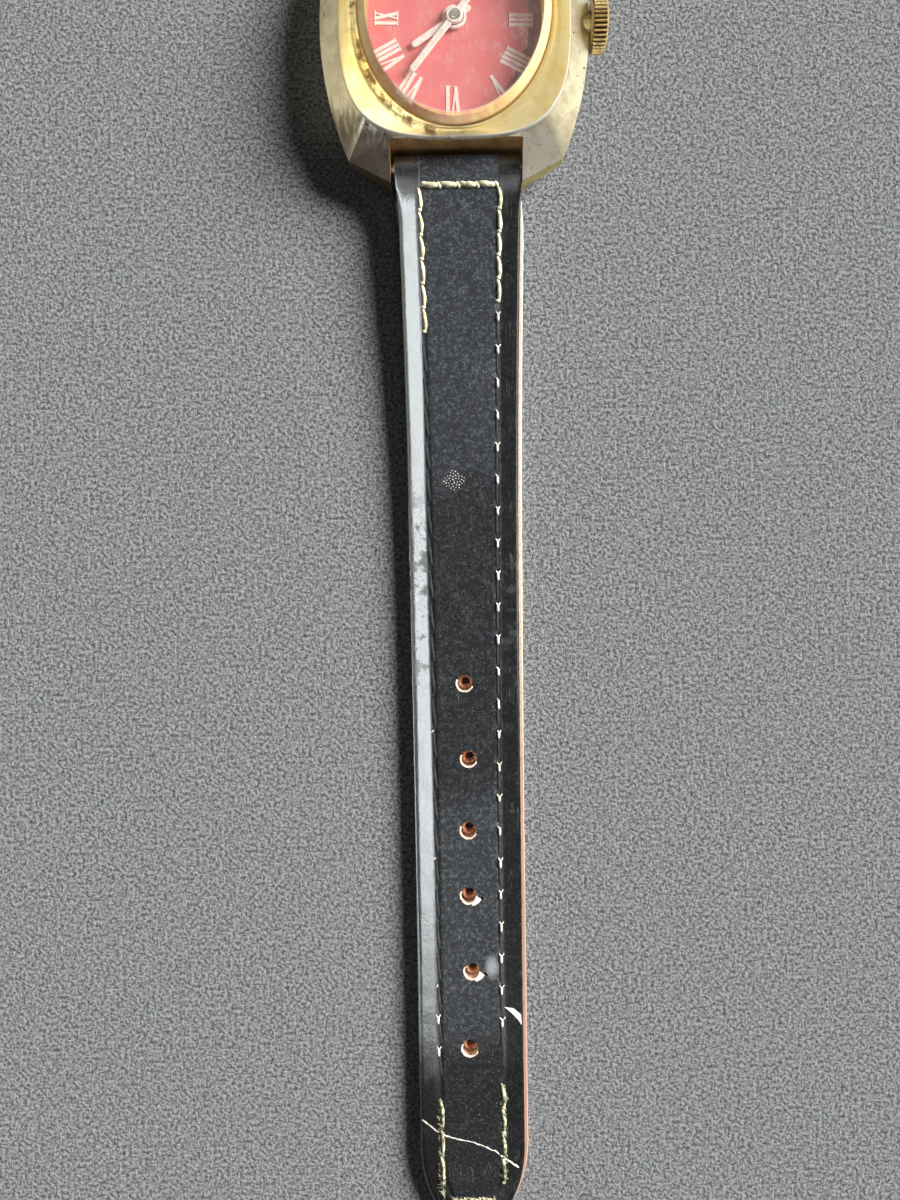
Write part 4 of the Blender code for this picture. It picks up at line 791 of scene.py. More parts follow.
def make_crystal(mats):
    """Crystal with a flat bevel round a slightly domed top."""
    half_x, half_y = CRYSTAL
    levels = [(oval(OPENING[0] - gap, OPENING[1] - gap), z) for gap, z in ((0.3, 7.2), (0.25, CRYSTAL_LOW.z))]
    levels += [(oval(half_x, half_y), CRYSTAL_LOW.z), (oval(half_x, half_y), 7.78)]
    for amount, z in ((0.03, 7.84), (0.5, 8.12), (0.97, 8.38)):
        levels.append((oval(half_x - 0.9 * amount, half_y - 0.66 * amount), z))
    for size in (0.905, 0.8, 0.6, 0.35, 0.1):
        levels.append((oval(half_x * size, half_y * size), CRYSTAL_HIGH.z - 0.3 * size**2))
    add_piece("crystal_domed", stacked(levels), mats["crystal"], "case", ["crystal"], 20.0)


CROWN_FLUTES = 36
FLUTE_STEPS = 6


def make_crown(mats):
    """Fluted crown with chamfered ends."""
    steps = CROWN_FLUTES * FLUTE_STEPS
    middle = (CROWN_LOW.x + CROWN_HIGH.x) / 2
    half = (CROWN_HIGH.x - CROWN_LOW.x) / 2
    radius = (CROWN_HIGH.z - STEM_Z) * CROWN_SWELL
    turns = []
    for i in range(steps):
        turns.append((360.0 * i / steps, (0.5 - 0.5 * math.cos(2 * math.pi * i / FLUTE_STEPS)) ** 0.7))
    # how far along from the middle, how far in, and how deep the flutes are
    profile = ((-1.0, 0.55, 0.0), (-0.93, 0.4, 0.05), (-0.75, 0.08, 0.22), (-0.6, 0.0, 0.3))
    profile += ((0.6, 0.0, 0.3), (0.78, 0.1, 0.2), (0.92, 0.35, 0.05), (1.0, 0.6, 0.0))
    levels = [(circle(1.4, steps), 15.1), (circle(1.4, steps), CROWN_LOW.x)]
    for along, inset, depth in profile:
        ring = [polar(CENTRE, radius - inset - depth * wave, turn) for turn, wave in turns]
        levels.append((ring, middle + along * half))
    levels.append((circle(0.8, steps), CROWN_HIGH.x))
    bm = stacked(levels)
    bm.transform(Matrix.Translation((0.0, 0.0, STEM_Z)) @ ALONG_X)
    add_piece("crown_fluted", bm, mats["crown"], "crown", ["crown"], 50.0)


def make_back(mats):
    """Snap-on back: stepped rim, flat disc with a shallow turned groove and an opening notch."""
    profile = [(9.6, 0.55), (9.6, 1.75), (10.3, 1.75), (10.3, 1.15), (11.3, 1.15), (11.3, 0.5), (11.1, 0.36)]
    profile += [(10.6, 0.02), (10.4, 0.0), (9.2, 0.0), (9.1, 0.06), (8.9, 0.06), (8.8, 0.0)]
    back = make_object("case_back_turned", turned(profile, 120), [mats["steel"]])
    notch = box((-1.1, 10.75, 0.5), (1.1, 11.6, 1.3))
    notch.transform(Matrix.Rotation(math.radians(-40.0), 4, "Z"))
    cut(back, [(notch, 0)])
    dress(back, "case", ["case_back"], 40.0)


# ---- numerals and hands
THICK = 0.36
THIN = 0.18
SERIF = 0.13
# for each hour: text, distance and direction from the centre, and the direction it reads along
NUMERALS = (
    ("I", 8.6, 57.0, 60.0),
    ("II", 7.9, 31.5, 30.0),
    ("III", 7.0, -1.5, -1.5),
    ("IIII", 7.78, -34.6, -28.0),
    ("V", 8.55, -58.4, -59.5),
    ("VI", 8.62, -91.6, -91.0),
    ("VII", 8.5, -123.9, -121.5),
    ("VIII", 7.8, -151.7, -152.0),
    ("IX", 7.12, 178.4, 178.5),
    ("X", 7.8, 149.0, 149.5),
    ("XI", 8.6, 122.0, 119.0),
    ("XII", 8.62, 88.4, 88.5),
)
LETTER_WIDTH = {"I": 0.5, "V": 1.12, "X": 1.02}
HAND_HALF_WIDTH = 0.36
HAND_RIM = 0.09


def stroke(bm, start, end, width, place, low, high):
    """Bar whose ends are level, from (x, y) to (x, y) of the numeral's own frame."""
    half = width / 2
    corners = [(start[0] - half, start[1]), (start[0] + half, start[1])]
    corners += [(end[0] + half, end[1]), (end[0] - half, end[1])]
    slab([place(corner) for corner in corners], low, high, bm)


def make_numerals(mats):
    """Roman numerals with their feet towards the centre; serifs join the bars at both ends."""
    bm = bmesh.new()
    low, high = DIAL_Z + 0.005, DIAL_Z + 0.06
    for text, radius, direction, facing in NUMERALS:
        length = 2.34 + 0.75 * abs(math.sin(math.radians(direction)))
        width = sum(LETTER_WIDTH[letter] for letter in text)
        centre = polar(CENTRE, radius, direction)
        turn = math.radians(facing - 90.0)

        def place(point, centre=centre, turn=turn):
            x = point[0] * math.cos(turn) - point[1] * math.sin(turn)
            y = point[0] * math.sin(turn) + point[1] * math.cos(turn)
            return (centre[0] + x, centre[1] + y)

        foot, head = -length / 2, length / 2
        x = -width / 2
        for letter in text:
            wide = LETTER_WIDTH[letter]
            middle = x + wide / 2
            reach = wide / 2 - 0.22
            if letter == "I":
                stroke(bm, (middle, foot), (middle, head), THICK, place, low, high)
                spans = [(middle - 0.27, middle + 0.27, foot), (middle - 0.27, middle + 0.27, head)]
            elif letter == "V":
                stroke(bm, (middle, foot), (middle - reach, head), THICK, place, low, high)
                stroke(bm, (middle, foot), (middle + reach, head), THIN, place, low, high + 0.004)
                spans = [(middle - reach - 0.25, middle - reach + 0.3, head)]
                spans.append((middle + reach - 0.25, middle + reach + 0.22, head))
            else:
                stroke(bm, (middle + reach, foot), (middle - reach, head), THICK, place, low, high)
                stroke(bm, (middle - reach, foot), (middle + reach, head), THIN, place, low, high + 0.004)
                spans = [(middle - reach - 0.25, middle - reach + 0.28, y) for y in (foot, head)]
                spans += [(middle + reach - 0.28, middle + reach + 0.25, y) for y in (foot, head)]
            for left, right, y in spans:
                x_mid = (left + right) / 2
                ends = ((x_mid, y - SERIF / 2), (x_mid, y + SERIF / 2))
                stroke(bm, *ends, right - left, place, low, high + 0.008)
            x += wide
    add_piece("dial_numerals", bm, mats["numeral"], "case")


def hand_outline(length, tail, direction, boss, half):
    """Bar with round ends and a round boss."""
    tip = polar(CENTRE, length - half, direction)
    back = polar(CENTRE, half - tail, direction)
    sweep = math.degrees(math.asin(half / boss))
    outline = arc(tip, half, direction - 90, direction + 90, 10)
    outline += arc(CENTRE, boss, direction + sweep, direction + 180 - sweep, 16)
    outline += arc(back, half, direction + 90, direction + 270, 10)
    return outline + arc(CENTRE, boss, direction + 180 + sweep, direction + 360 - sweep, 16)


def ring_band(inner, outer, low, high):
    """Flat ring with a chamfered upper edge."""
    edge = 0.05
    profile = [(outer, low), (outer, high - edge), (outer - edge, high), (inner + edge, high)]
    return turned(profile + [(inner, high - edge), (inner, low)], 48, True)


def make_hands(mats):
    """Two straight baton hands with pale rims, stacked bosses and the grey pin in the middle."""
    for name, node, body, size, clock, level, boss, hole in (
        ("hour_baton", "hour_hand", "hour_hand", (5.35, 2.0), 236.6, 5.75, 1.25, 0.9),
        ("minute_baton", "minute_hand", "minute_hand", (7.4, 2.8), 218.6, 6.12, 0.9, 0.52),
    ):
        outline = hand_outline(*size, 90.0 - clock, boss, HAND_HALF_WIDTH)
        inner = [part - HAND_RIM for part in size]
        inner = hand_outline(*inner, 90.0 - clock, boss - HAND_RIM, HAND_HALF_WIDTH - HAND_RIM)
        bm = stacked(((outline, level), (outline, level + 0.09), (inner, level + 0.15)))
        baton = make_object(name, bm, [mats["hand"]])
        cut(baton, [(slab(circle(hole, 40), level - 1, level + 1), 0)])
        dress(baton, body, [node], 30.0)
    rim = ring_band(0.95, 1.22, 5.89, 5.97)
    add_piece("hour_boss_rim", rim, mats["hand"], "hour_hand")
    rim = ring_band(0.56, 0.86, 6.26, 6.35)
    add_piece("minute_boss_rim", rim, mats["hand"], "minute_hand")
    cap = turned(((0.47, 6.2), (0.47, 6.44), (0.38, 6.5), (0.2, 6.48)), 40)
    add_piece("minute_pin_cap", cap, mats["pin"], "minute_hand")
    dial = frame["nodes"]["dial"]
    dial.data.materials.clear()
    dial.data.materials.append(mats["dial"])


# ---- strap
STITCH_INSET = 2.35
STITCH_PITCH = 3.45
PALE_PITCH = 2.66
LINING_THICKNESS = 0.7
LEATHER_LIFT = LINING_THICKNESS + 0.03
LEATHER_INSET = 0.17
MARGIN_WIDTH = 2.3
MARGIN_DROP = 0.66
EDGE_STEPS = (0.0, 0.05, 0.14, 0.3, 0.6, 1.0, 1.4, 1.8, 2.05, 2.2, 2.35, 2.5, 2.65, 2.9, 3.4)
BAR_BORE = 0.95
BUCKLE_BORE = 0.68
HOLE_RADIUS = 0.9
UNDER_HOLE_RADIUS = 0.42
# how far down the long strap each hole is, and how far to the right
HOLES = ((55.4, 0.07), (63.55, 0.4), (71.3, 0.24), (78.35, 0.18), (86.55, 0.42), (94.9, 0.08))
# a side row starts pale and goes on dark; on the long half it ends frayed
ROW_START = 2.6
PALE_ENDS = ((1, 14.7), (-1, 17.8))
FRAYED_FROM = {1: 98.8, -1: 100.4}
FRAYED_TO = 109.6
SCUFF = (-0.73, -48.0)
SCUFF_SPOTS = 46


def strap_half_width(s):
    return 5.8 + 1.1 * math.exp(-max(s, 0.0) / 32.0)


def long_strap_line(s):
    """Underside and top of the 6 o'clock strap at a distance from its bar."""
    low = 1.15 * math.exp(-((max(s, 0.0) / 22.0) ** 2))
    return low, low + 2.1 + 1.2 * math.exp(-max(s, 0.0) / 40.0)


def short_strap_line(s):
    """Underside and top of the 12 o'clock strap."""
    drop = min(max((s - 69.8) / 4.0, 0.0), 1.0)
    drop = drop * drop * (3 - 2 * drop)
    low = 0.9 + 0.25 * math.exp(-max(s, 0.0) / 10.0)
    low -= drop * (low - 0.06)
    return low, low + 2.35 + 0.93 * math.exp(-max(s, 0.0) / 25.0)


Strap = namedtuple("Strap", "direction shift line tip_start seed")
LONG = Strap(-1, STRAP_SHIFT, long_strap_line, LONG_STRAP - TIP_LENGTH, 1.0)
SHORT = Strap(1, 0.0, short_strap_line, None, 2.0)


def section(half, low, high, y, shift, seed, rolled):
    """Cross-section: sloping margins, stitch grooves and a raised, slightly crowned panel."""
    scale = min(1.0, half / 3.6)
    flat = 1 - rolled
    right, left = [], []
    for edge in EDGE_STEPS:
        drop = MARGIN_DROP * max(0.0, 1 - edge / MARGIN_WIDTH) + 0.22 * max(0.0, 1 - edge / 0.3) ** 2
        groove = 0.13 * math.exp(-(((edge - STITCH_INSET) / 0.17) ** 2))
        panel = 0.06 if edge > 2.6 else 0.0
        z = high - min(drop * flat, 0.45 * (high - low)) - (groove - panel) * flat
        for x, row in ((half - edge * scale, right), (edge * scale - half, left)):
            lump = 0.025 * wander(x * 0.55, y * 0.4, seed) + 0.012 * wander(x * 1.7, y * 1.3, seed)
            row.append((shift + x, y, z + lump * flat))
    middle = [(shift, y, high + 0.08 * flat + 0.02 * wander(0.0, y * 0.4, seed))]
    bottom = [(shift - half * f, y, low) for f in (1.0, 0.5, 0.0, -0.5, -1.0)]
    return right + middle + left[::-1] + bottom


def tip_factor(strap, s):
    """How much the round tip narrows the strap."""
    if strap.tip_start is None or s <= strap.tip_start:
        return 1.0
    return math.sqrt(max(1 - ((s - strap.tip_start) / (TIP_LENGTH + 0.02)) ** 2, 0.0004))


def leather(strap, stations):
    """Solid through (distance, low, high, how far rolled) stations."""
    rings = []
    for s, low, high, rolled in stations:
        fray = 0.035 * wander(s * 0.9, strap.seed * 3.1) + 0.02 * wander(s * 3.3, strap.seed)
        half = (strap_half_width(s) - LEATHER_INSET + fray) * tip_factor(strap, s)
        shift = strap.shift * min(1.0, max(s, 0.0) / 6.0 + 0.4)
        rings.append(section(half, low, high, strap.direction * (BAR_Y + s), shift, strap.seed, rolled))
    return lofted(rings)


def rolled_end(centre_s, centre_z, radius, outward):
    """Stations of a round end about a bar."""
    stations = []
    for degrees in range(8, 89, 10):
        angle = math.radians(degrees)
        s = centre_s + outward * radius * math.cos(angle)
        half = radius * math.sin(angle)
        stations.append((s, centre_z - half, centre_z + half, 0.9))
    return stations


def along_strap(first, last, step):
    count = max(int((last - first) / step), 1)
    return [first + (last - first) * i / count for i in range(count + 1)]


def leather_stations(line, bar_radius, last):
    """Leather from its turn round the spring bar up to a distance."""
    stations = rolled_end(0.0, BAR_Z, bar_radius, -1)
    stations += [(s, line(s)[0] + 0.02, line(s)[1], 0.9) for s in (1.2, 2.4)]
    for s in along_strap(2.9, last, 0.6):
        low, high = line(s)
        stations.append((s, low + LEATHER_LIFT, high, max(0.0, 0.9 * (1 - max(s - 2.4, 0.0) / 2.0))))
    return stations


def surface_height(line, s, inset):
    """Height of the leather's top at a distance in from its edge."""
    return line(s)[1] - MARGIN_DROP * max(0.0, 1 - inset / MARGIN_WIDTH)


def stitch(bm, start, end, radius, arch, sway=0.0):
    """One stitch: thread that comes out of one needle hole, lies on the leather and goes into the next."""
    start, end = Vector(start), Vector(end)
    across = (end - start).normalized().cross(Vector((0.0, 0.0, 1.0)))
    points, radii = [], []
    for i in range(11):
        t = i / 10
        lift = arch * (1 - (2 * t - 1) ** 4) - 0.14 * (abs(2 * t - 1) ** 8)
        side = sway * (math.sin(math.pi * t) + 0.35 * wander(start.y * 1.3 + 2.2 * t, start.x))
        points.append(start.lerp(end, t) + Vector((0.0, 0.0, lift)) + across * side)
        uneven = 1 + 0.25 * wander(end.y * 2.1 + 3 * t, end.x)
        radii.append(radius * (0.55 + 0.45 * math.sin(math.pi * t) ** 0.5) * uneven)
    tube(bm, points, radii)


def fuzz(bm, start, end, count, reach, seed):
    """Loose fibres that stand out of a worn thread."""
    start, end = Vector(start), Vector(end)
    for i in range(count):
        t = (i + 0.5) / count + 0.06 * wander(i * 3.7, seed)
        root = start.lerp(end, t)
        turn = 2.4 * i + 3.0 * wander(i * 1.9, seed, 2.0)
        length = reach * (0.5 + 0.5 * abs(wander(i * 5.3, seed, 5.0)) * 2)
        tip = root + Vector((math.cos(turn) * length, math.sin(turn) * length, 0.04))
        bend = root.lerp(tip, 0.5) + Vector((-math.sin(turn), math.cos(turn), 0.3)) * 0.3 * length
        tube(bm, (root, bend, tip), (0.05, 0.04, 0.02), 4)


def needle_hole(strap, s, side):
    """Where a side row's needle hole is."""
    across = side * (strap_half_width(s) - LEATHER_INSET - STITCH_INSET) + 0.07 * wander(s, side * 2.0)
    z = surface_height(strap.line, s, STITCH_INSET) - 0.04
    return Vector((strap.shift + across, strap.direction * (BAR_Y + s), z))


def pale_row(bm, strap, side, first, last, radius=0.23):
    """Row of thick pale stitches, each a slanted loop, with loose fibres."""
    count = max(round((last - first) / PALE_PITCH), 1)
    pitch = (last - first) / count
    lean = Vector((0.13, 0.0, 0.0))
    for i in range(count):
        a = needle_hole(strap, first + i * pitch, side)
        b = needle_hole(strap, first + (i + 1) * pitch - 0.15, side)
        stitch(bm, a - lean, b + lean * 0.6, radius, 0.1, -0.14)
        stitch(bm, b - lean * 1.6, b + lean * 1.3, radius * 0.8, 0.1)
        fuzz(bm, a, b, 7, 0.34, side * 3.0 + i)


def dark_row(dark, ticks, strap, side, first, last):
    """Row of dark stitches with painted glints at the needle holes."""
    forward = strap.direction
    for i in range(int((last - first) / STITCH_PITCH)):
        s = first + i * STITCH_PITCH
        a = needle_hole(strap, s, side)
        b = needle_hole(strap, s + STITCH_PITCH - 0.5, side)
        if side < 0:
            a.x -= 0.22
            b.x += 0.12
        stitch(dark, a, b, 0.13 if side > 0 else 0.17, 0.0, 0.04)
        # painted glints: the pale strokes below stand in for light caught at the needle holes; every stitch of the
        # right row gets them, the left row only near the tip, with a few thin ones elsewhere
        top = a + Vector((0.04, 0.0, 0.1))
        worn = side > 0 or s > 91.0
        length = (0.75 if worn else 0.3) * (1 + 0.5 * wander(s, side * 3.0))
        if worn:
            # a stroke along the row, and one or two arms that lean back from its start
            arm = 0.24 + 0.14 * wander(s * 2.0, 4.0)
            stitch(ticks, top, top + Vector((0.0, forward * length, 0.0)), 0.16, 0.04, 0.04)
            tip, root = Vector((-arm, -forward * 0.2, 0.0)), Vector((0.02, forward * 0.1, 0.0))
            stitch(ticks, top + tip, top + root, 0.1, 0.02)
            if wander(s * 1.7, side) > -0.15:
                tip, root = Vector((arm, -forward * 0.22, 0.0)), Vector((0.0, forward * 0.1, 0.0))
                stitch(ticks, top + tip, top + root, 0.08, 0.02)
        elif wander(s * 1.1, 8.0) > 0.1:
            stitch(ticks, top, top + Vector((-0.3, forward * length, 0.0)), 0.07, 0.02)


def cross_row(bm, strap, s, reach, count=4, radius=0.27):
    """Pale stitches across the strap."""
    z = strap.line(s)[1] + 0.04
    y = strap.direction * (BAR_Y + s)
    for i in range(count):
        a = Vector((strap.shift - reach + 2 * reach * i / count, y + 0.1, z))
        b = Vector((strap.shift - reach + 2 * reach * (i + 1) / count - 0.12, y - 0.08, z))
        stitch(bm, a, b, radius, 0.08, 0.08)
        stitch(bm, b + Vector((-0.1, 0.25, 0.0)), b + Vector((0.15, -0.25, 0.0)), radius * 0.7, 0.06)
        fuzz(bm, a, b, 8, 0.45, s + i)


def hole_outline(centre, radius, seed, steps=28):
    """Circle with a slightly ragged edge."""
    points = []
    for i in range(steps):
        turn = 360.0 * i / steps
        ragged = 1 + 0.1 * wander(*polar(CENTRE, 1.5, turn), seed)
        points.append(polar(centre, radius * ragged, turn))
    return points


TRIM_LOOKS = {
    "hole_floors": ("hole", "lining"),
    "hole_lit_lips": ("hole_rim", "lining"),
    "threads_pale": ("pale_thread", "lining"),
    "threads_frayed": ("old_thread", "lining"),
    "threads_dark": ("dark_thread", "leather"),
    "stitch_glints": ("torn", "lining"),
}


def add_trim(strap, body, mats, trim):
    """Small pieces of one half of the strap."""
    for part, bm in trim.items():
        look, slot = TRIM_LOOKS[part]
        add_piece(f"{strap}_{part}", bm, mats[look], body, (), 60.0)


def lining_piece(name, strap, places, mats):
    """Lining through places along the strap."""
    rings = []
    for s in places:
        low = strap.line(s)[0]
        high = low + LINING_THICKNESS
        half = (strap_half_width(s) + 0.06 + 0.05 * wander(s * 0.8, 7.0)) * tip_factor(strap, s)
        shift = (STRAP_SHIFT + 0.24) * min(1.0, max(s, 0.0) / 6.0 - 0.1)
        outline = [(-half, low + 0.08), (-half + 0.1, low), (half - 0.1, low), (half, low + 0.08)]
        outline += [(half, high - 0.12), (half - 0.12, high), (-half + 0.12, high), (-half, high - 0.12)]
        rings.append([(x + shift, strap.direction * (BAR_Y + s), z) for x, z in outline])
    return make_object(name, lofted(rings), [mats["lining"]])


def make_long_strap(mats):
    """6 o'clock strap: black top with stitched margins over a tan lining, holes that show wear with painted light
    and shade in them, and a cracked tip.
    """
    stations = leather_stations(long_strap_line, 1.42, LONG.tip_start)
    for f in (0.1, 0.2, 0.3, 0.4, 0.5, 0.6, 0.68, 0.76, 0.83, 0.89, 0.93, 0.965, 0.985, 0.996):
        low, high = long_strap_line(LONG.tip_start + TIP_LENGTH * f)
        stations.append((LONG.tip_start + TIP_LENGTH * f, low + LEATHER_LIFT, high, 0.0))
    top = make_object("strap_long_top", leather(LONG, stations), [mats["leather"], mats["hole_rim"]])
    places = along_strap(3.1, LONG.tip_start, 1.2)
    places += [LONG.tip_start + TIP_LENGTH * f for f in (0.15, 0.3, 0.45, 0.6, 0.72, 0.82, 0.9, 0.96, 0.995)]
    top_cutters = [(rod_x(BAR_BORE, -9.0, 9.0, -BAR_Y, BAR_Z), 0)]
    lining_cutters = []
    floors, lips = bmesh.new(), bmesh.new()
    for i, (s, x) in enumerate(HOLES):
        low, high = long_strap_line(s)
        low += LINING_THICKNESS + 0.02
        centre = (x, -(BAR_Y + s))
        top_cutters.append((slab(hole_outline(centre, HOLE_RADIUS, i), -1.0, 6.0), 1))
        # painted light: a cream lip of cut edge only round the lower left of each hole, the side of its wall that
        # the light reaches
        rim = [polar(centre, HOLE_RADIUS + 0.05 * wander(t * 0.05, i), t) for t in range(150, 341, 10)]
        radii = [0.13 + 0.05 * wander(t * 0.9, i) for t in range(len(rim))]
        tube(lips, at_height(rim, high - 0.02), radii)
        # the hole in the lining shows a little up and to the right of the one in the leather, so its dark opening
        # is painted shade at each hole's upper right
        under = (x + 0.2, -(BAR_Y + s) + 0.16)
        lining_cutters.append((slab(hole_outline(under, UNDER_HOLE_RADIUS, i + 9), -1.0, 6.0), 0))
        profile = ((0.46, low), (0.8, low), (0.8, low + 0.45), (0.62, low + 0.68), (0.48, low + 0.5))
        stacked([(hole_outline(under, radius, i + 20), z) for radius, z in profile], True, floors)
    cut(top, top_cutters)
    dress(top, "strap_6", ["strap_6_leather"], 50.0)
    lining = lining_piece("strap_long_lining", LONG, places, mats)
    cut(lining, lining_cutters)
    dress(lining, "strap_6", ["strap_6_lining"], 40.0)

    pale, old, dark, ticks = (bmesh.new() for _ in range(4))
    cross_row(pale, LONG, 2.35, 4.05, 4, 0.34)
    cross_row(old, LONG, 111.2, 2.4, 3, 0.2)
    for side, last in PALE_ENDS:
        frayed = FRAYED_FROM[side]
        pale_row(pale, LONG, side, ROW_START, last)
        pale_row(old, LONG, side, frayed, FRAYED_TO, 0.2)
        for i in range(10):
            a, b = (needle_hole(LONG, frayed + ahead + i, side) for ahead in (0.2, 1.3))
            fuzz(old, a, b, 16, 0.6, side * 7.0 + i)
        dark_row(dark, ticks, LONG, side, last + 1.2, frayed - 0.5)
    trim = {"hole_floors": floors, "hole_lit_lips": lips, "threads_pale": pale}
    trim |= {"threads_frayed": old, "threads_dark": dark, "stitch_glints": ticks}
    add_trim("strap_long", "strap_6", mats, trim)


def long_top(x, y, trim):
    """Height of the long strap's top at a point, with its edges taken this much further in."""
    s = -y - BAR_Y
    edge = strap_half_width(s) * tip_factor(LONG, s) - trim - abs(x - STRAP_SHIFT)
    return surface_height(long_strap_line, s, max(edge, 0.0))


def make_wear(mats):
    """Cream crack across the tip, torn lips at two holes, a nick at the edge painted as a pale glint, and a
    scuffed patch.
    """
    bm = bmesh.new()
    route = ((-5.2, -117.4), (-3.6, -118.4), (-2.2, -119.0), (0.5, -119.6), (2.6, -120.5), (5.5, -122.9))
    points, radii = [], []
    for a, b in zip(route, route[1:]):
        for i in range(10):
            x = a[0] + (b[0] - a[0]) * i / 10
            y = a[1] + (b[1] - a[1]) * i / 10 + 0.16 * wander(x * 2.0, 4.0)
            points.append((x, y, long_top(x, y, 0.3) + 0.03))
            radii.append(0.085 + 0.09 * wander(x * 3.0, 9.0))
    tube(bm, points, radii)
    for s, x in HOLES[3:5]:
        centre = (x, -(BAR_Y + s))
        z = long_strap_line(s)[1] + 0.06
        outer = [polar(centre, 1.15 + 0.35 * math.sin(math.radians(t)), -70 + t) for t in range(0, 80, 10)]
        inner = [polar(centre, 0.8, -70 + t) for t in range(0, 80, 10)]
        tail = [polar(centre, 1.9, -16.0), polar(centre, 1.3, -14.0)]
        slab(outer + tail + inner[::-1], z - 0.02, z + 0.05, bm)
    # painted glint: the nick at the right edge is a pale patch that stands in for the light it catches
    nick = ((4.7, -105.75), (5.4, -106.6), (5.76, -107.2), (5.72, -106.1), (4.9, -105.3), (3.9, -105.0))
    lofted([[(x, y, long_top(x, y, LEATHER_INSET) + lift) for x, y in nick] for lift in (-0.1, 0.06)], bm=bm)
    add_piece("strap_long_tears_and_glint", bm, mats["torn"], "strap_6", (), 50.0)

    bm = bmesh.new()
    for i in range(SCUFF_SPOTS):
        reach = 1.15 * math.sqrt(i / SCUFF_SPOTS)
        across = reach * math.cos(i * 2.4) * (1.15 - 0.1 * reach)
        along = reach * math.sin(i * 2.4)
        if abs(across) + abs(along) > 1.45:
            continue
        x, y = SCUFF[0] + across, SCUFF[1] + along
        z = long_strap_line(-y - BAR_Y)[1] + 0.07
        slab(hole_outline((x, y), 0.05 + 0.05 * abs(wander(i * 1.7)), i, 6), z, z + 0.03, bm)
    add_piece("strap_long_scuff", bm, mats["torn"], "strap_6")


def make_short_strap(mats):
    """12 o'clock strap: same build, folded round the buckle's bar with a slot for the tongue."""
    line = short_strap_line
    stations = leather_stations(line, 1.62, 71.6)
    stations += [(s, line(s)[0] + 0.02, line(s)[1], 0.5) for s in (72.4, 73.4)]
    stations += reversed(rolled_end(SHORT_STRAP, BUCKLE.z, 1.3, 1))
    top = make_object("strap_short_top", leather(SHORT, stations), [mats["leather"], mats["hole_rim"]])
    slot = arc((0.0, BUCKLE.y - 1.4), 1.2, 180.0, 360.0, 10) + [(1.2, BUCKLE.y + 3.0), (-1.2, BUCKLE.y + 3.0)]
    bores = [(rod_x(BAR_BORE, -9.0, 9.0, BAR_Y, BAR_Z), 0)]
    bores.append((rod_x(BUCKLE_BORE, -9.0, 9.0, BUCKLE.y, BUCKLE.z), 0))
    cut(top, bores + [(slab(slot, -1.0, 6.0), 1)])
    dress(top, "strap_12", ["strap_12_leather"], 50.0)
    lining = lining_piece("strap_short_lining", SHORT, along_strap(3.1, 71.4, 1.2), mats)
    dress(lining, "strap_12", ["strap_12_lining"], 40.0)
    pale, dark, ticks = (bmesh.new() for _ in range(3))
    cross_row(pale, SHORT, 2.35, 4.05)
    cross_row(pale, SHORT, 69.0, 3.3, 3)
    for side, last in PALE_ENDS:
        pale_row(pale, SHORT, side, ROW_START, last)
        dark_row(dark, ticks, SHORT, side, last + 1.2, 68.5)
    trim = {"threads_pale": pale, "threads_dark": dark, "stitch_glints": ticks}
    add_trim("strap_short", "strap_12", mats, trim)


def mirrored(points):
    return [(-x, y) for x, y in reversed(points)]


def rounded_rectangle(low, high, radius):
    """Outline, even about x = 0."""
    right = arc((high[0] - radius, low[1] + radius), radius, 270, 360, 8)
    right += arc((high[0] - radius, high[1] - radius), radius, 0, 90, 8)
    return right + mirrored(right)


def make_keepers(mats):
    """Leather bands with rounded edges and two stitched rows on top."""
    for node, body in (("free_keeper", "free_keeper"), ("fixed_keeper", "strap_12")):
        low, high = box_mm(node)
        outer = rounded_rectangle((low.x, low.z), (high.x, high.z), 1.1)
        inner = rounded_rectangle((low.x + 0.8, low.z + 0.8), (high.x - 0.8, high.z - 0.8), 0.35)
        rings = []
        for amount, y in (
            (0.25, low.y),
            (0.0, low.y + 0.25),
            (0.0, high.y - 0.25),
            (0.25, high.y),
            (1.0, high.y),
            (1.0, low.y),
        ):
            rings.append([(x, y, z) for x, z in blended(outer, inner, amount)])
        add_piece(f"{node}_band", lofted(rings, True), mats["keeper"], body, [node], 40.0)
        bm = bmesh.new()
        z = high.z - 0.05
        for side in (-1, 1):
            for y in (low.y + 0.9, high.y - 0.9):
                for i in range(4):
                    x = side * (1.0 + 1.2 * i)
                    stitch(bm, (x - 0.4, y, z), (x + 0.4, y, z), 0.12, 0.04)
        add_piece(f"{node}_threads", bm, mats["dark_thread"], body, (), 60.0)


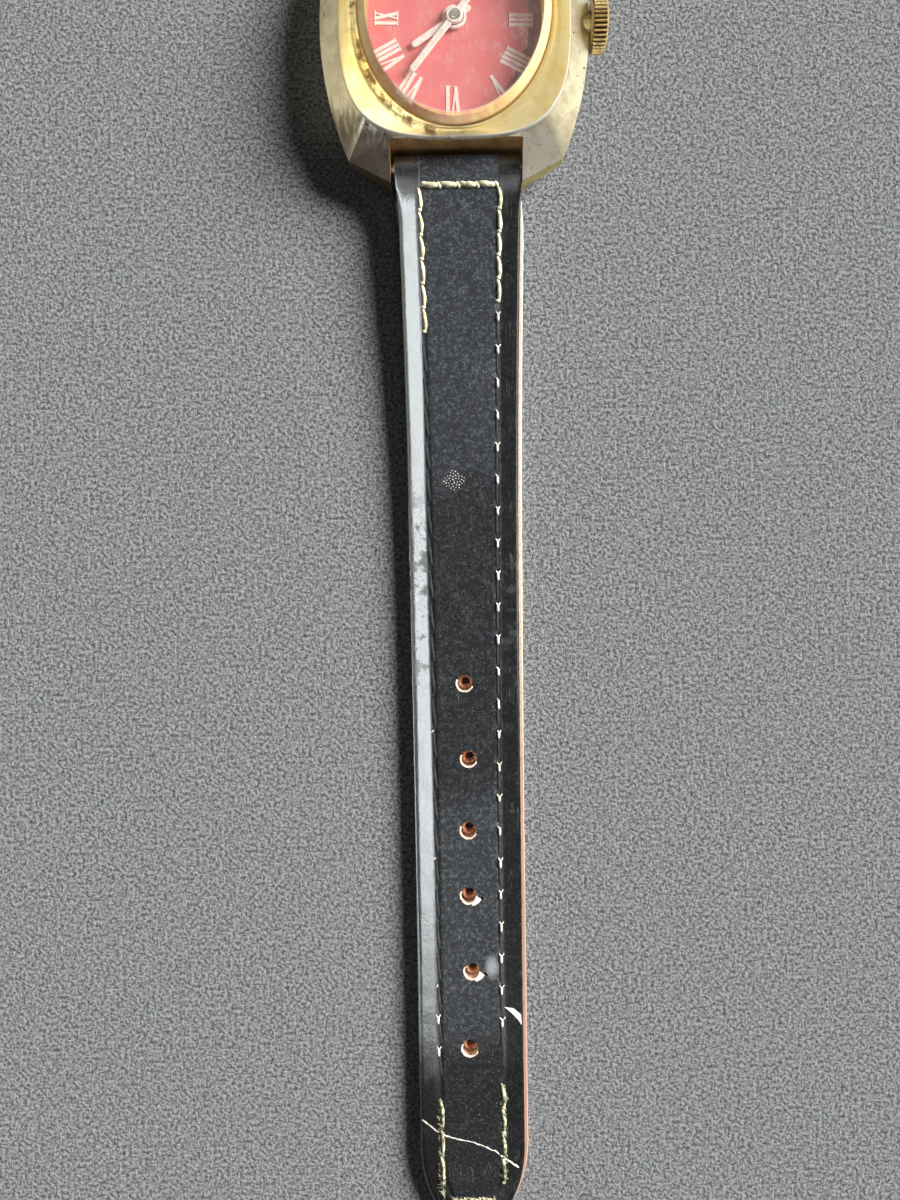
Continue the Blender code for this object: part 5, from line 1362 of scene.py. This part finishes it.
def make_buckle(mats):
    """Pin buckle: round-edged frame, bent tongue that rests in a notch of the frame, and its bar's eyes."""
    low, high = box_mm("buckle_frame")
    start, end = BUCKLE.y - 1.1, high.y
    inside, inner_end = 6.5, end - 2.2
    right = [(inside, start)] + arc((high.x - 0.5, start + 0.5), 0.5, 270, 360, 5)
    right += arc((high.x - 2.0, end - 2.0), 2.0, 0, 90, 12)
    window = arc((0.6 - inside, inner_end - 0.6), 0.6, 180, 90, 5)
    bm = slab(right + mirrored(right) + window + mirrored(window), low.z, high.z)
    buckle = make_object("buckle_frame_rounded", bm, [mats["gold"]])
    notch = rod_x(1.0, -0.95, 0.95, 0.0, 0.0)
    notch.transform(Matrix.Translation((0.0, end - 1.1, high.z + 0.75)) @ Matrix.Scale(1.6, 4, (0, 1, 0)))
    cut(buckle, [(rod_x(0.65, -9.5, 9.5, BUCKLE.y, BUCKLE.z), 0), (notch, 0)])
    soften(buckle, 0.5, 4, 50.0)
    dress(buckle, "buckle_frame", ["buckle_frame"], 50.0)

    # the tongue's back: how far past the bar, how high above it, and how thick there
    back = ((0.2, 1.12, 0.9), (1.2, 1.0, 0.85), (2.6, 1.02, 0.82), (4.5, 1.5, 0.85))
    back += ((6.2, 1.78, 0.8), (7.6, 1.75, 0.72), (8.6, 1.5, 0.5), (8.95, 1.2, 0.15))
    rings = []
    for y, z, thick in back:
        wide = 0.9 if y < 7.0 else 0.9 * max(0.25, 1 - ((y - 7.0) / 2.2) ** 2)
        ring = []
        for k in range(16):
            c, s = math.cos(2 * math.pi * k / 16), math.sin(2 * math.pi * k / 16)
            rise = thick / 2 * (math.copysign(abs(s) ** 0.8, s) - 1)
            ring.append((wide * math.copysign(abs(c) ** 0.6, c), BUCKLE.y + y, BUCKLE.z + z + rise))
        rings.append(ring)
    bm = lofted(rings)
    loop = ((1.08, -0.85), (1.1, -0.8), (1.1, 0.8), (1.08, 0.85), (0.66, 0.85), (0.66, -0.85))
    rings = [[(x, BUCKLE.y + y, BUCKLE.z + z) for y, z in circle(radius, 32)] for radius, x in loop]
    lofted(rings, True, bm)
    add_piece("buckle_tongue_bent", bm, mats["gold"], "buckle_tongue", ["buckle_tongue"], 45.0)


def dress_cad(mats):
    """Worked materials for the CAD nodes that stay as they are."""
    finish_of = {
        "steel": "steel",
        "brass": "brass",
        "blued_steel": "blued_steel",
        "rubber": "rubber",
        "gold_plate": "gold",
        "case_metal": "flank",
        "hand_metal": "hand",
        "leather": "keeper",
        "lining": "lining",
    }
    slot_of = {entry["node"]: entry["material_slot"] for entry in frame["record"]["subparts"]}
    for name, obj in frame["nodes"].items():
        finish = "lug_end" if name == "crown_tube" else finish_of.get(slot_of[name])
        if finish:
            obj.data.materials.clear()
            obj.data.materials.append(mats[finish])


def make_floor():
    bm = bmesh.new()
    corners = [(x * FLOOR_REACH, y * FLOOR_REACH, FLOOR_Z) for x, y in ((-1, -1), (1, -1), (1, 1), (-1, 1))]
    bm.faces.new([bm.verts.new(corner) for corner in corners])
    floor = make_object("floor", bm, [floor_cloth()])


make_camera()
make_lights()
make_floor()
materials = make_materials()
dress_cad(materials)
make_case(materials)
make_bezel(materials)
make_crystal(materials)
make_crown(materials)
make_back(materials)
make_numerals(materials)
make_hands(materials)
make_long_strap(materials)
make_wear(materials)
make_short_strap(materials)
make_keepers(materials)
make_buckle(materials)
